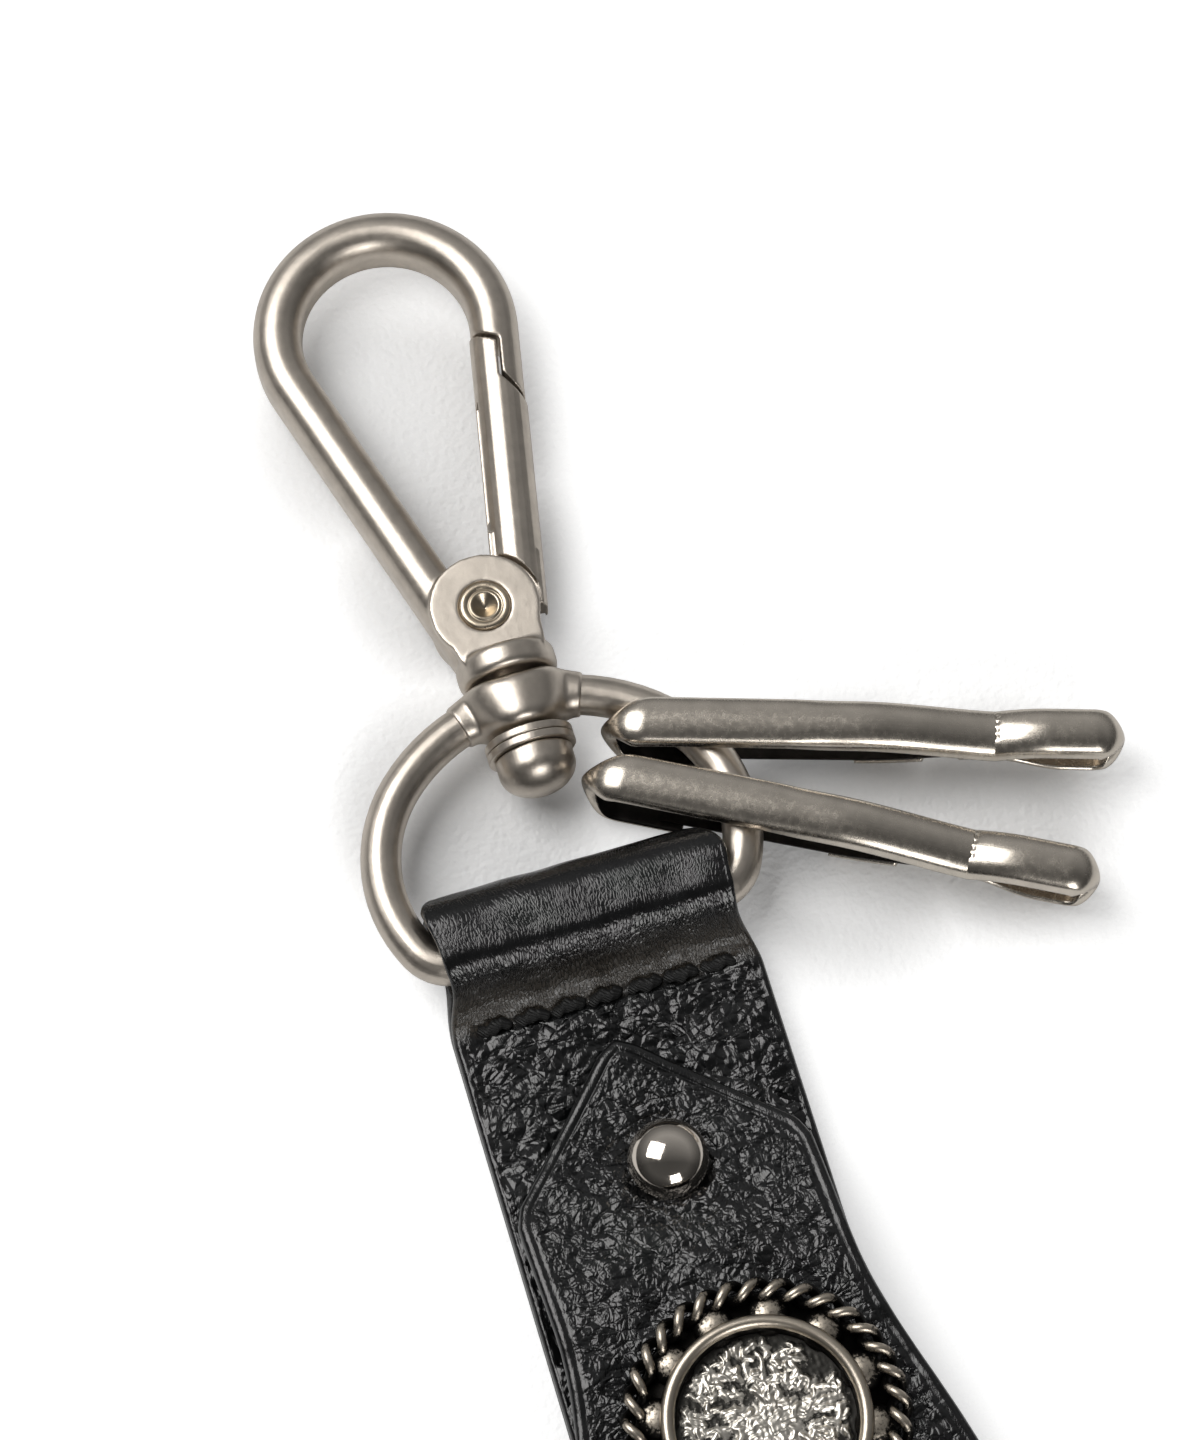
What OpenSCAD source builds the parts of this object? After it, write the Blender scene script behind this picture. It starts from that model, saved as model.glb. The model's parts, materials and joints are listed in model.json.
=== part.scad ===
// Leather keyring lying flat: folded strap with a snap-down pointed flap, D ring,
// swivel snap hook and two key clips. Millimetres, +Z up, +Y along the strap
// towards the hook. The origin lies on the strap's flat back, under the middle of
// the stitch line. The pieces are drawn from the front of the ring fold and placed().

/* [Strap] */
// Width of the strap
strap_w = 27.2; // [24:0.2:34]
// Thickness of one layer of leather
leather_t = 1.8; // [1.4:0.1:2]
// Distance from the ring fold to the bottom fold
strap_len = 101; // [96:1:120]
// Length of the front layer under the flap
front_len = 60; // [58:0.5:64]
// Distance from the ring fold to the stitch line
stitch_y = 11.9; // [11.5:0.1:13]
// Pitch of the stitches
stitch_pitch = 3.3; // [2.8:0.1:3.6]
// Number of stitches
stitch_count = 7; // [5:1:7]
// Diameter of the thread
thread_d = 0.7; // [0.5:0.05:0.9]
// Height of the belt space inside the bottom fold
belt_gap = 4.2; // [4.1:0.1:5]

/* [Flap] */
// Distance from the ring fold to the point of the flap
flap_tip_y = 16.2; // [15:0.1:18]
// Turn of the flap against the strap
flap_turn = 2.6; // [0:0.1:3]
// Offset of the flap's outline from the line of its studs
flap_shift = 0.8; // [0:0.1:1]
// Rounding of the flap's point
tip_r = 1.8; // [1:0.1:2.5]
// Half width at the shoulders below the point
shoulder_hw = 12.9; // [12:0.1:14]
// Half width at the waist
waist_hw = 12.9; // [12:0.1:13.5]
// Half width where the flap flares most
flare_hw = 17.3; // [15:0.1:18]
// Distance from the point to the waist
waist_s = 23; // [21:0.5:26]
// Distance from the point to the widest place
flare_s = 49; // [46:0.5:52]
// Distance from the point to where the flare has ended
foot_s = 63; // [61:0.5:70]

/* [Flap hardware] */
// Distance from the ring fold to the dome stud
stud_y = 27.8; // [26:0.1:30]
// Diameter of the dome stud
stud_d = 6.4; // [5:0.1:7.5]
// Height of the dome stud above the leather
stud_h = 2.9; // [2:0.1:3.2]
// Distance from the ring fold to the middle of the concho
concho_y = 51.6; // [50:0.1:53]
// Outer diameter of the twisted border
rope_od = 25.2; // [24:0.1:26]
// Thickness of the twisted border
rope_d = 2.2; // [1.8:0.1:2.4]
// Number of strands that show round the border
rope_lobes = 33; // [25:2:41]
// Number of beads inside the border
bead_count = 12; // [8:1:16]
// Diameter of a bead
bead_d = 2.8; // [2:0.1:3]
// Outer diameter of the raised bezel
bezel_od = 18.4; // [17:0.1:19]
// Width of the bezel's band
bezel_w = 1.5; // [1:0.1:2]
// Height of the bezel above the leather
bezel_h = 2.9; // [2.4:0.1:3.4]
// Gap between strap and flap that the snap fills
snap_gap = 2.4; // [2.2:0.1:2.8]

/* [Ring] */
// Diameter of the ring's wire
wire_d = 3.5; // [3:0.1:3.8]
// Height of the ring's plane and of the swivel axis
axis_h = 4.45; // [4.45:0.05:5.5]
// Half width of the ring, to the middle of the wire
ring_hw = 15.55; // [15:0.05:17]
// Distance from the ring fold to the top of the ring, to the middle of the wire
ring_top_y = 15.25; // [14.5:0.05:17]
// Radius of the two corners at the bar
ring_corner_r = 3.4; // [3:0.1:4]
// Distance from the ring fold back to the bar
bar_y = 6.0; // [5.6:0.1:6.4]
// Distance from the ring fold to the middle of the ring's side arcs
ring_mid_y = 1.5; // [1:0.1:2]

/* [Swivel] */
// Diameter of the boss
boss_d = 8.8; // [8:0.1:8.9]
// Length of the boss
boss_len = 4.9; // [4.4:0.1:5.2]
// Width of the boss across the sockets of the wire
boss_w = 11; // [10.4:0.1:12]
// Diameter of the swivel pin
pin_d = 4; // [3.4:0.1:4.4]
// Diameter of the pin's domed head
head_d = 6.8; // [6:0.1:7.4]
// Length of the domed head
head_len = 3.7; // [3:0.1:4]
// Diameter of the washers
washer_d = 7.8; // [7.2:0.1:8.4]
// Thickness of a washer
washer_t = 0.7; // [0.5:0.05:0.8]
// Diameter of the hook's collar
collar_d = 8.8; // [8:0.1:8.9]
// Length of the hook's collar
collar_len = 2.4; // [1.8:0.1:2.6]
// Gap between boss and collar
collar_gap = 0.4; // [0.3:0.05:0.8]

/* [Hook] */
// Width of the hook's bar
hook_w = 4.3; // [3.8:0.1:4.6]
// Thickness of the hook's bar
hook_t = 4.6; // [4.2:0.1:5]
// Radius of the hook's bow, to the middle of the bar
bow_r = 9.6; // [9:0.1:10.5]
// Distance from the middle of the boss to the middle of the bow
bow_len = 37.4; // [36:0.1:40]
// Sideways offset of the bow from the swivel axis
bow_x = 1.45; // [1:0.05:2]
// Lean of the straight leg
leg_lean = 16.5; // [15:0.1:18]
// Lean of the nose and of the gate
gate_lean = 11; // [10:0.1:12]
// Distance from the middle of the boss to the gate's rivet
pivot_len = 9.25; // [9:0.05:9.8]
// Sideways offset of the gate's rivet
pivot_x = 0.4; // [0:0.1:0.8]
// Radius of the ears
ear_r = 4.8; // [4.4:0.1:5]
// Thickness of one ear
ear_t = 1.2; // [1:0.05:1.4]
// Width of the slot between the ears
slot_t = 3; // [2.8:0.1:3.2]
// Diameter of the rivet's shank
rivet_d = 2.6; // [2.2:0.1:2.8]
// Diameter of the rivet's head
rivet_head_d = 4.5; // [4:0.1:4.8]
// Distance along the nose from the end of the bow to the gate's tip
lap_from = 2; // [1:0.1:3]
// Length by which nose and gate overlap
lap_len = 3.3; // [3:0.1:5]

/* [Key clips] */
// Length of a key clip
clip_len = 44.6; // [42:0.1:48]
// Width of a key clip's strip
clip_w = 4.4; // [4:0.1:4.6]
// Thickness of the strip at its crown
clip_t = 1.2; // [1:0.05:1.3]
// Inner height of a key clip round the ring
clip_gap = 4.9; // [4.6:0.05:5]
// Inner height of the eye at the free end
eye_gap = 2.9; // [2.6:0.05:3.2]
// Length of the eye at the free end
eye_len = 10.6; // [10:0.1:12]
// Width of the dark spring leaf
leaf_w = 3; // [2.6:0.1:3.4]
// Thickness of the spring leaf
leaf_t = 0.25; // [0.2:0.05:0.4]

/* [Hidden] */
$fn = 64;

leather_c = "#1d1f22";
grain_c = "#2a2c30";
thread_c = "#111213";
nickel_c = "#a89f93";
bright_c = "#cfcac4";
silver_c = "#8f8d88";
dark_c = "#26231f";

// One overrun serves every cut, one running clearance every pin, and one air gap
// every pair of faces that only lie close.
cut = 0.5;
run_gap = 0.05;
air = 0.12;

// Ring: a top arc, two side arcs and two corners, each tangent to the next.
side_r_share = 0.909;
top_h = ring_top_y - ring_mid_y;
ring_side_r = top_h * side_r_share;
side_x = ring_hw - ring_side_r;
ring_top_r = (pow(top_h, 2) + pow(side_x, 2) - pow(ring_side_r, 2)) / (2 * (top_h - ring_side_r));
top_c_y = ring_top_y - ring_top_r;

// Strap: the ring fold is a long loop round the bar, lifted to the ring's plane.
hole_r = wire_d / 2 + 2 * run_gap;
fold_r = hole_r + leather_t;
fold_front_c = fold_r;
fold_ramp = stitch_y - bar_y - thread_d;
layers_t = 2 * leather_t;
corner_r = 4;
mouth_x = ring_corner_x() - run_gap;
mouth_r = wire_d / 2 + bar_rise() + 2 * run_gap;
ramp_n = 10;
skive_n = 8;
arc_n = 16;
stitch_bare_share = 0.75;
thread_low_share = 0.8;
stitch_drop = 0.5;
edge_slit_t = 0.2;
edge_slit_d = 0.5;

// Flap: it rests on the strap at its point, then climbs to the height of the snap.
flap_rest = layers_t + air;
flap_high = layers_t + snap_gap;
foot_hw = strap_w / 2;
back_start = 46;
back_end = 80;
climb_start = 21;
climb_end = 40;
belt_lead = 2;
belt_rise = 7;
belt_start = front_len + belt_lead;
belt_end = belt_start + belt_rise;
bend_in_r = belt_gap / 2;
bend_mid_r = bend_in_r + leather_t / 2;
bend_out_r = bend_in_r + leather_t;
fold_axis_y = -strap_len + leather_t / 2;
fold_axis_z = bend_out_r;
bend_y = -strap_len + bend_out_r;
fold_air = 0.2;
flap_top = 2 * bend_out_r - leather_t;

stud_x = hardware_x(stud_y);
concho_x = hardware_x(concho_y);
concho_z = flap_high + leather_t;
stud_z = flap_under(-stud_y) + leather_t + air;

// The ring's angles
top_a = asin(side_x / (ring_top_r - ring_side_r));
corner_a = asin((ring_mid_y + bar_y - ring_corner_r) / (ring_side_r - ring_corner_r));
ring_side_low_y = ring_mid_y - ring_side_r * sin(corner_a);
ring_top_x = ring_top_r * sin(top_a);
wire_facet_share = 1.014;
socket_depth = 1.6;
socket_in_x = boss_w / 2 - socket_depth;
socket_open_a = 5;
socket_lap_a = 0.3;
socket_a = asin(socket_in_x / ring_top_r);
wing_a = asin(boss_w / 2 / ring_top_r);
wing_t = 0.45;

function ring_corner_x() =
  ring_hw - ring_side_r + sqrt(pow(ring_side_r - ring_corner_r, 2)
                               - pow(ring_mid_y + bar_y - ring_corner_r, 2));
// How far the wire has left the bar's axis at the edge of the strap
function bar_rise() =
  ring_corner_r - sqrt(pow(ring_corner_r, 2)
                       - pow(min(strap_w / 2 - ring_corner_x(), ring_corner_r), 2));

// How far from the middle the ring's sides stay at a distance r from the bar's axis
function skive_x(r) = min(
  side_x + sqrt(pow(ring_side_r - wire_d / 2, 2) - pow(r - bar_y - ring_mid_y, 2)) - air,
  strap_w / 2 + cut / 2);

// Swivel
boss_set = 0.9;
boss_y = ring_top_y - boss_set;
pivot_y = boss_y + pivot_len;
bow_y = boss_y + bow_len;
boss_lo = boss_y - boss_len / 2;
boss_hi = boss_y + boss_len / 2;
collar_lo = boss_hi + collar_gap;
collar_hi = collar_lo + collar_len;
washer_in_y = boss_lo - air - washer_t;
washer_out_y = washer_in_y - washer_t - air / 2;
head_y = washer_out_y - air / 2;
pin_grip = 1.6;
boss_round = 0.9;
head_dome_share = 0.36;
collar_round = 0.7;

// Hook
bow_c = [-bow_x, bow_y];
pivot = [-pivot_x, pivot_y];
nose_dir = [-sin(gate_lean), -cos(gate_lean)];
nose_start = bow_c + bow_r * [cos(gate_lean), -sin(gate_lean)];
leg_dir = [sin(leg_lean), -cos(leg_lean)];
leg_start = bow_c + bow_r * [-cos(leg_lean), -sin(leg_lean)];
leg_len = (leg_start[1] - collar_hi + collar_round) / cos(leg_lean);
lap_gap = 0.25;
lap_x = 0.3;
lap_in_slope = 0.4;
lap_out_slope = 1.1;
nose_len = lap_from + lap_len;
slot_r = 3.4;
tongue_r = 3.1;
tongue_t = slot_t - 4 * run_gap;
ear_gap = 0.45;
ear_z = slot_t / 2;
rivet_proud = 0.1;
rivet_out = ear_z + ear_t + rivet_proud;
base_hw = 3.7;
ear_inset = 0.3;
foot_t = hook_t;
leg_side = 0.4;

// Gate: a bar on the line of the nose, from its step down to the ears.
gate_over_w = 0.3;
gate_under_t = 0.1;
gate_w = hook_w + gate_over_w;
gate_t = hook_t - gate_under_t;
gate_low = 0.3;
gate_len = (nose_start[1] - pivot_y + gate_low) / cos(gate_lean);
gate_foot = nose_start + nose_dir * gate_len;
tongue_side = 0.3;
channel_w = 1.6;
channel_from_share = 2.4;
channel_ends_share = 4.6;
channel_d = 1.5;

// Gate spring
spring_wire = 0.4;
spring_turns = 2.5;
spring_pitch = 0.44;
spring_in_air = 0.15;
spring_out_air = 0.25;
spring_start_a = 60;
spring_r = rivet_d / 2 + spring_wire / 2 + spring_in_air;
spring_n = 12;
spring_sides = 6;
pocket_r = spring_r + spring_wire / 2 + spring_out_air;
pocket_d = spring_turns * spring_pitch + spring_wire + 2 * run_gap;

// Key clips: place and turn of each, and the side view of the strip. The stations
// run along the clip as shares of its length, the heights as shares of the gap.
// Each crosses the ring's right side at an angle about the side arc's centre.
upper_ring_a = 33.04;
upper_hang = 7.53;
upper_turn = -17.65;
lower_ring_a = -5.32;
lower_hang = 13.62;
lower_turn = -28.3;
upper_at = clip_at(upper_ring_a, upper_hang, upper_turn);
lower_at = clip_at(lower_ring_a, lower_hang, lower_turn);
clip_side_t = 0.45;
lip_len = 9;
tail_u = 21.7;
notch_from = 27.4;
notch_to = 30.5;
notch_top = 0.2;
notch_d = 0.9;
neck_gap = 0.9;
low_gap = 2.25;
neck_back = 0.3;
neck_u = clip_len - eye_len - neck_back;
eye_rise_share = 0.45;
lip_share = 0.5;
crown_shares = [0.35, 0.7];
leaf_lap = 2;
leaf_back = 3;
clip_seg = 16;
tip_len = 4.6;
tip_in = 1.8;
tip_low_len = 2.6;
tip_low_in = 1.5;
eye_round = 1.3;

// Snap and studs
post_d = 3;
snap_flange_d = 10;
snap_flange_t = 0.5;
snap_plug_d = 4.2;
snap_plug_h = 1.3;
socket_d = 11.4;
socket_t = snap_gap - snap_flange_t - air;
socket_wall = 0.4;
rivet_flange_t = 0.4;
rivet_flange_d = 9;
stud_post_d = 1.8;
stud_washer_d = 5.4;
stud_washer_t = 0.5;
stud_crown_share = 0.8;
stud_foot_share = 0.94;
rope_sink_share = 0.5;
mount_t = 1;
disc_t = 0.8;
disc_dome = 0.35;

function smooth(t) = let (c = min(max(t, 0), 1)) c * c * (3 - 2 * c);
function mix(a, b, t) = a + (b - a) * t;
function arc(c, r, a0, a1, n) =
  [for (i = [0:n]) let (a = mix(a0, a1, i / n)) c + r * [cos(a), sin(a)]];

// Line on which the flap's stud and concho lie, seen from above
function hardware_x(y) = (y - flap_tip_y) * tan(flap_turn);

// Height of the flap's underside above the table
function flap_under(y) =
  y > -climb_end
    ? mix(flap_rest, flap_high, smooth((-y - climb_start) / (climb_end - climb_start)))
    : mix(flap_high, flap_top, smooth((-y - belt_start) / (belt_end - belt_start)));

// Half width of the flap at a distance s from its point
function flap_half(s) =
  s < shoulder_hw
    ? s
    : s < waist_s
      ? mix(shoulder_hw, waist_hw, smooth((s - shoulder_hw) / (waist_s - shoulder_hw)))
      : s < flare_s
        ? mix(waist_hw, flare_hw, smooth((s - waist_s) / (flare_s - waist_s)))
        : mix(flare_hw, foot_hw, smooth((s - flare_s) / (foot_s - flare_s)));

module placed() translate([0, stitch_y, 0]) children();

module lying(y) {
  // Turns a shape made along +Z so that it lies along +Y on the swivel axis.
  translate([0, y, axis_h]) rotate([-90, 0, 0]) children();
}

module strap_profile() {
  front = arc([-fold_front_c, axis_h], fold_r, 90, -90, arc_n);
  ramp_top = [for (i = [0:ramp_n]) let (t = i / ramp_n)
    [mix(-bar_y - fold_ramp, -bar_y, t), mix(layers_t, axis_h + fold_r, smooth(t))]];
  ramp_low = [for (i = [0:ramp_n]) let (t = i / ramp_n)
    [mix(-bar_y, -bar_y - fold_ramp, t), mix(axis_h - fold_r, 0, smooth(t))]];
  bend_low = arc([bend_y, bend_out_r], bend_out_r, 270, 180, arc_n);
  bend_in = arc([bend_y, bend_out_r], bend_in_r, 180, 270, arc_n);
  end_z = fold_axis_z - leather_t / 2 - fold_air;
  difference() {
    polygon(concat(
      ramp_top, front, ramp_low,
      [for (p = bend_low) if (p[1] < end_z) p],
      [[-strap_len + bend_out_r - sqrt(pow(bend_out_r, 2) - pow(bend_out_r - end_z, 2)), end_z],
       [bend_y - sqrt(pow(bend_in_r, 2) - pow(bend_out_r - end_z, 2)), end_z]],
      [for (p = bend_in) if (p[1] < end_z) p],
      [[-front_len - leather_t, leather_t], [-front_len, layers_t]]
    ));
    translate([-bar_y, axis_h]) circle(hole_r);
    translate([-fold_front_c, axis_h]) circle(hole_r);
    translate([-bar_y, axis_h - hole_r]) square([bar_y - fold_front_c, 2 * hole_r]);
  }
}

module strap_plan() {
  // Outline of the strap from above, with the two corners of the fold rounded.
  translate([-strap_w / 2, -strap_len - cut])
    square([strap_w, strap_len + cut - corner_r]);
  translate([-strap_w / 2 + corner_r, -corner_r - cut])
    square([strap_w - 2 * corner_r, corner_r + cut]);
  for (side = [-1, 1])
    translate([side * (strap_w / 2 - corner_r), -corner_r]) circle(corner_r);
}

module strap_leather() {
  color(leather_c) difference() {
    intersection() {
      rotate([90, 0, 90]) translate([0, 0, -strap_w / 2])
        linear_extrude(strap_w) strap_profile();
      linear_extrude(axis_h + fold_r + cut) strap_plan();
    }
    for (side = [0, 1]) mirror([side, 0, 0]) {
      // The mouths of the fold open wider, where the ring's corners turn.
      translate([mouth_x, -bar_y, axis_h]) rotate([0, 90, 0])
        cylinder(r = mouth_r, h = strap_w / 2 - mouth_x + cut);
      // The edges are skived where the ring's sides pass them as it swings.
      translate([0, -bar_y, axis_h]) rotate([0, 90, 0]) rotate_extrude() polygon(concat(
        [[0, strap_w / 2 + cut], [0, skive_x(mouth_r - cut)]],
        [for (i = [0:skive_n]) let (r = mix(mouth_r - cut, bar_y + ring_mid_y, i / skive_n))
          [r, skive_x(r)]],
        [[bar_y + ring_mid_y, strap_w / 2 + cut]]
      ));
      // The line between the two layers shows along the edge.
      translate([strap_w / 2 - edge_slit_d, -front_len, leather_t - edge_slit_t / 2])
        cube([edge_slit_d + cut, front_len - stitch_y - thread_d, edge_slit_t]);
    }
    translate([concho_x, -concho_y, leather_t - rivet_flange_t])
      cylinder(d = post_d, h = leather_t + rivet_flange_t + cut);
    translate([concho_x, -concho_y, leather_t - rivet_flange_t])
      cylinder(d = rivet_flange_d, h = rivet_flange_t);
    seam(thread_d, thread_d * thread_low_share);
  }
}

module seam(d, low_d) {
  // Sunk stitches, joined by the run of thread that lies under the surface.
  half = stitch_pitch / 2 - thread_d * stitch_bare_share;
  for (i = [0:stitch_count - 1])
    translate([(i - (stitch_count - 1) / 2) * stitch_pitch, -stitch_y, layers_t]) {
      translate([-half, 0, 0]) rotate([0, 90, 0]) cylinder(d = d, h = 2 * half);
      translate([-half - thread_d / 2, -d / 2, -stitch_drop]) cube([2 * half + thread_d, d, stitch_drop]);
    }
  translate([-stitch_count / 2 * stitch_pitch, -stitch_y, layers_t - stitch_drop])
    rotate([0, 90, 0]) cylinder(d = low_d, h = stitch_count * stitch_pitch);
}

module stitching() {
  color(thread_c) seam(thread_d - 2 * run_gap, thread_d * thread_low_share - 2 * run_gap);
}

module snap_rivet() {
  color(nickel_c) translate([concho_x, -concho_y, leather_t - rivet_flange_t]) {
    cylinder(d = rivet_flange_d, h = rivet_flange_t);
    cylinder(d = post_d, h = layers_t - leather_t + rivet_flange_t);
  }
}

module snap_stud() {
  neck_d = snap_plug_d - 4 * run_gap * 2;
  color(bright_c) translate([concho_x, -concho_y, layers_t]) rotate_extrude() polygon([
    [0, 0], [snap_flange_d / 2, 0], [snap_flange_d / 2, snap_flange_t / 2],
    [neck_d / 2, snap_flange_t], [neck_d / 2, snap_flange_t + snap_plug_h / 3],
    [snap_plug_d / 2 - air, snap_flange_t + snap_plug_h / 2],
    [snap_plug_d / 2 - air, snap_flange_t + snap_plug_h * 3 / 4],
    [neck_d / 2 - air, snap_flange_t + snap_plug_h], [0, snap_flange_t + snap_plug_h]
  ]);
}

// Middle line of the flap at a distance s from its point, in the flap's own turn
function flap_mid(s) =
  mix(-flap_shift, -s * tan(flap_turn), smooth((s - back_start) / (back_end - back_start)));

module flap_plan() {
  // Outline of the flap from above: rounded point, shoulders, waist and flare.
  reach = strap_len - flap_tip_y + 2 * leather_t;
  tip_s = tip_r * (sqrt(2) - 1);
  step_n = 48;
  tip = arc([-flap_shift, -tip_s - tip_r], tip_r, 45, 135, arc_n / 2);
  edge_s = tip_s + tip_r * (1 - sqrt(2) / 2);
  right = [for (i = [step_n:-1:1]) let (s = mix(edge_s, reach, i / step_n))
    [flap_mid(s) + flap_half(s), -s]];
  left = [for (i = [1:step_n]) let (s = mix(edge_s, reach, i / step_n))
    [flap_mid(s) - flap_half(s), -s]];
  translate([0, tip_s - flap_tip_y]) rotate(flap_turn) polygon(concat(right, tip, left));
}

module flap_profile() {
  n = 40;
  low = [for (i = [0:n]) let (y = mix(-flap_tip_y + cut, bend_y, i / n)) [y, flap_under(y)]];
  top = [for (i = [n:-1:0]) let (y = mix(-flap_tip_y + cut, bend_y, i / n))
    [y, flap_under(y) + leather_t]];
  bend_in = arc([bend_y, bend_out_r], bend_in_r, 90, 180, arc_n);
  bend_out = arc([bend_y, bend_out_r], bend_out_r, 180, 90, arc_n);
  foot = [for (r = [bend_in_r, bend_out_r]) [bend_y - r, fold_axis_z - 2 * run_gap]];
  polygon(concat(low, bend_in, foot, bend_out, top));
}

module flap_leather() {
  span = 3 * flare_hw;
  color(grain_c) difference() {
    intersection() {
      union() {
        rotate([90, 0, 90]) translate([0, 0, -span / 2]) linear_extrude(span) flap_profile();
        translate([-span / 2, fold_axis_y, fold_axis_z]) rotate([0, 90, 0])
          cylinder(d = leather_t - 2 * run_gap, h = span);
      }
      linear_extrude(flap_top + leather_t + cut) flap_plan();
    }
    translate([concho_x, -concho_y, 0]) cylinder(d = post_d, h = concho_z + cut);
    on_flap_slope() translate([0, 0, -2 * leather_t]) cylinder(d = stud_post_d, h = 3 * leather_t);
    on_flap_slope() translate([0, 0, -leather_t - air - cut])
      cylinder(d = stud_washer_d + 2 * run_gap, h = stud_washer_t + cut);
  }
}

module on_flap_slope() {
  // Puts a piece on the flap's upper face at the dome stud, square to the leather.
  step = leather_t;
  slope = atan((flap_under(-stud_y + step) - flap_under(-stud_y - step)) / (2 * step));
  translate([stud_x, -stud_y, stud_z]) rotate([slope, 0, 0]) children();
}

module dome_stud() {
  base_h = stud_h - stud_d / 2 * stud_crown_share;
  color(bright_c) on_flap_slope() {
    intersection() {
      translate([0, 0, stud_h - stud_d / 2]) sphere(d = stud_d);
      cylinder(d = stud_d + cut, h = stud_h + cut);
    }
    cylinder(d = stud_d * stud_foot_share, h = base_h);
    translate([0, 0, -leather_t - air + stud_washer_t])
      cylinder(d = stud_post_d - 2 * run_gap, h = leather_t + air - stud_washer_t + base_h);
  }
}

module dome_stud_washer() {
  color(nickel_c) on_flap_slope() translate([0, 0, -leather_t - air])
    cylinder(d = stud_washer_d, h = stud_washer_t);
}

module at_concho(z) {
  translate([concho_x, -concho_y, z]) children();
}

module concho_mount() {
  rope_mid = (rope_od - rope_d) / 2;
  bead_mid = (bezel_od / 2 + rope_mid - rope_d / 2) / 2;
  color(silver_c) at_concho(concho_z) {
    cylinder(r = rope_mid, h = mount_t);
    rotate_extrude() polygon([
      [bezel_od / 2 - bezel_w, 0], [bezel_od / 2, 0],
      [bezel_od / 2, bezel_h - bezel_w / 3], [bezel_od / 2 - bezel_w / 3, bezel_h],
      [bezel_od / 2 - bezel_w * 2 / 3, bezel_h], [bezel_od / 2 - bezel_w, bezel_h - bezel_w / 3]
    ]);
    difference() {
      for (i = [0:bead_count - 1]) rotate(i * 360 / bead_count)
        translate([bead_mid, 0, mount_t]) sphere(d = bead_d);
      translate([0, 0, -bead_d]) cylinder(d = rope_od, h = bead_d + mount_t / 2);
      difference() {
        translate([0, 0, mount_t]) cylinder(d = 2 * rope_od, h = bead_d);
        cylinder(r = rope_mid - rope_d / 2 - run_gap, h = 2 * bead_d);
      }
    }
  }
}

// Twisted wire: a closed tube whose oval section makes half a turn for each lobe.
module twisted_border(mid_r, d, lobes, rings, sides) {
  wave = 0.14;
  n = lobes * rings;
  pts = [for (i = [0:n - 1], j = [0:sides - 1])
    let (a = i * 360 / n, b = j * 360 / sides,
         r = d / 2 * (1 - wave + wave * cos(2 * b - lobes * a)))
    [(mid_r + r * cos(b)) * cos(a), (mid_r + r * cos(b)) * sin(a), r * sin(b)]];
  faces = [for (i = [0:n - 1], j = [0:sides - 1])
    let (p = i * sides + j, q = i * sides + (j + 1) % sides,
         u = ((i + 1) % n) * sides + j, v = ((i + 1) % n) * sides + (j + 1) % sides)
    each [[p, q, v], [p, v, u]]];
  polyhedron(pts, faces);
}

module concho_rope() {
  color(silver_c) at_concho(concho_z + mount_t + rope_d / 2 * rope_sink_share)
    difference() {
      twisted_border((rope_od - rope_d) / 2, rope_d, rope_lobes, 4, 8);
      translate([0, 0, -rope_d]) cylinder(d = rope_od, h = rope_d * (1 - rope_sink_share / 2));
    }
}

module concho_disc() {
  d = bezel_od - 2 * bezel_w - 2 * run_gap;
  rim = 0.7;
  hr = d / 2 - rim;
  n = 6;
  color(bright_c) at_concho(concho_z + mount_t) rotate_extrude() polygon(concat(
    [[0, 0], [d / 2, 0], [d / 2, disc_t - disc_dome]],
    [for (i = [0:n]) let (x = hr * (1 - i / n)) [x, disc_t - disc_dome * pow(x / hr, 2)]]
  ));
}

module concho_post() {
  color(nickel_c) at_concho(concho_z - leather_t - socket_wall)
    cylinder(d = post_d - 2 * run_gap, h = leather_t + socket_wall);
}

module snap_socket() {
  low = concho_z - leather_t - socket_t;
  color(nickel_c) at_concho(low) difference() {
    rotate_extrude() polygon([
      [0, 0], [socket_d / 2 - socket_wall, 0], [socket_d / 2, socket_wall],
      [socket_d / 2, socket_t], [0, socket_t]
    ]);
    translate([0, 0, -cut]) cylinder(d = snap_plug_d + 2 * air, h = socket_t - socket_wall + cut);
    cylinder(d = post_d - 2 * run_gap, h = socket_t + cut);
  }
}

// Solid swept along a level line at the height z; the section's points are
// given as [towards the right of the travel, up]
module sweep(path, section, z) {
  n = len(path);
  m = len(section);
  dirs = [for (i = [0:n - 1]) unit(path[min(i + 1, n - 1)] - path[max(i - 1, 0)])];
  pts = [for (i = [0:n - 1], j = [0:m - 1])
    [path[i][0] + dirs[i][1] * section[j][0], path[i][1] - dirs[i][0] * section[j][0],
     z + section[j][1]]];
  polyhedron(pts, tube_faces(n, m));
}

// Faces of a tube of n rings with m points each, closed at both ends
function tube_faces(n, m) = concat(
  [[for (j = [m - 1:-1:0]) j]],
  [[for (j = [0:m - 1]) (n - 1) * m + j]],
  [for (i = [0:n - 2], j = [0:m - 1])
    let (p = i * m + j, q = i * m + (j + 1) % m, u = p + m, v = q + m)
    each [[p, q, v], [p, v, u]]]);

function round_section(r, sides) =
  [for (j = [0:sides - 1]) r * [cos(j * 360 / sides), sin(j * 360 / sides)]];

// Part of a ring lying in the ring's plane, swept from a section
module bend(c, r, from, to) {
  translate([c[0], c[1], axis_h]) rotate([0, 0, from])
    rotate_extrude(angle = to - from) translate([r, 0]) children();
}

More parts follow.
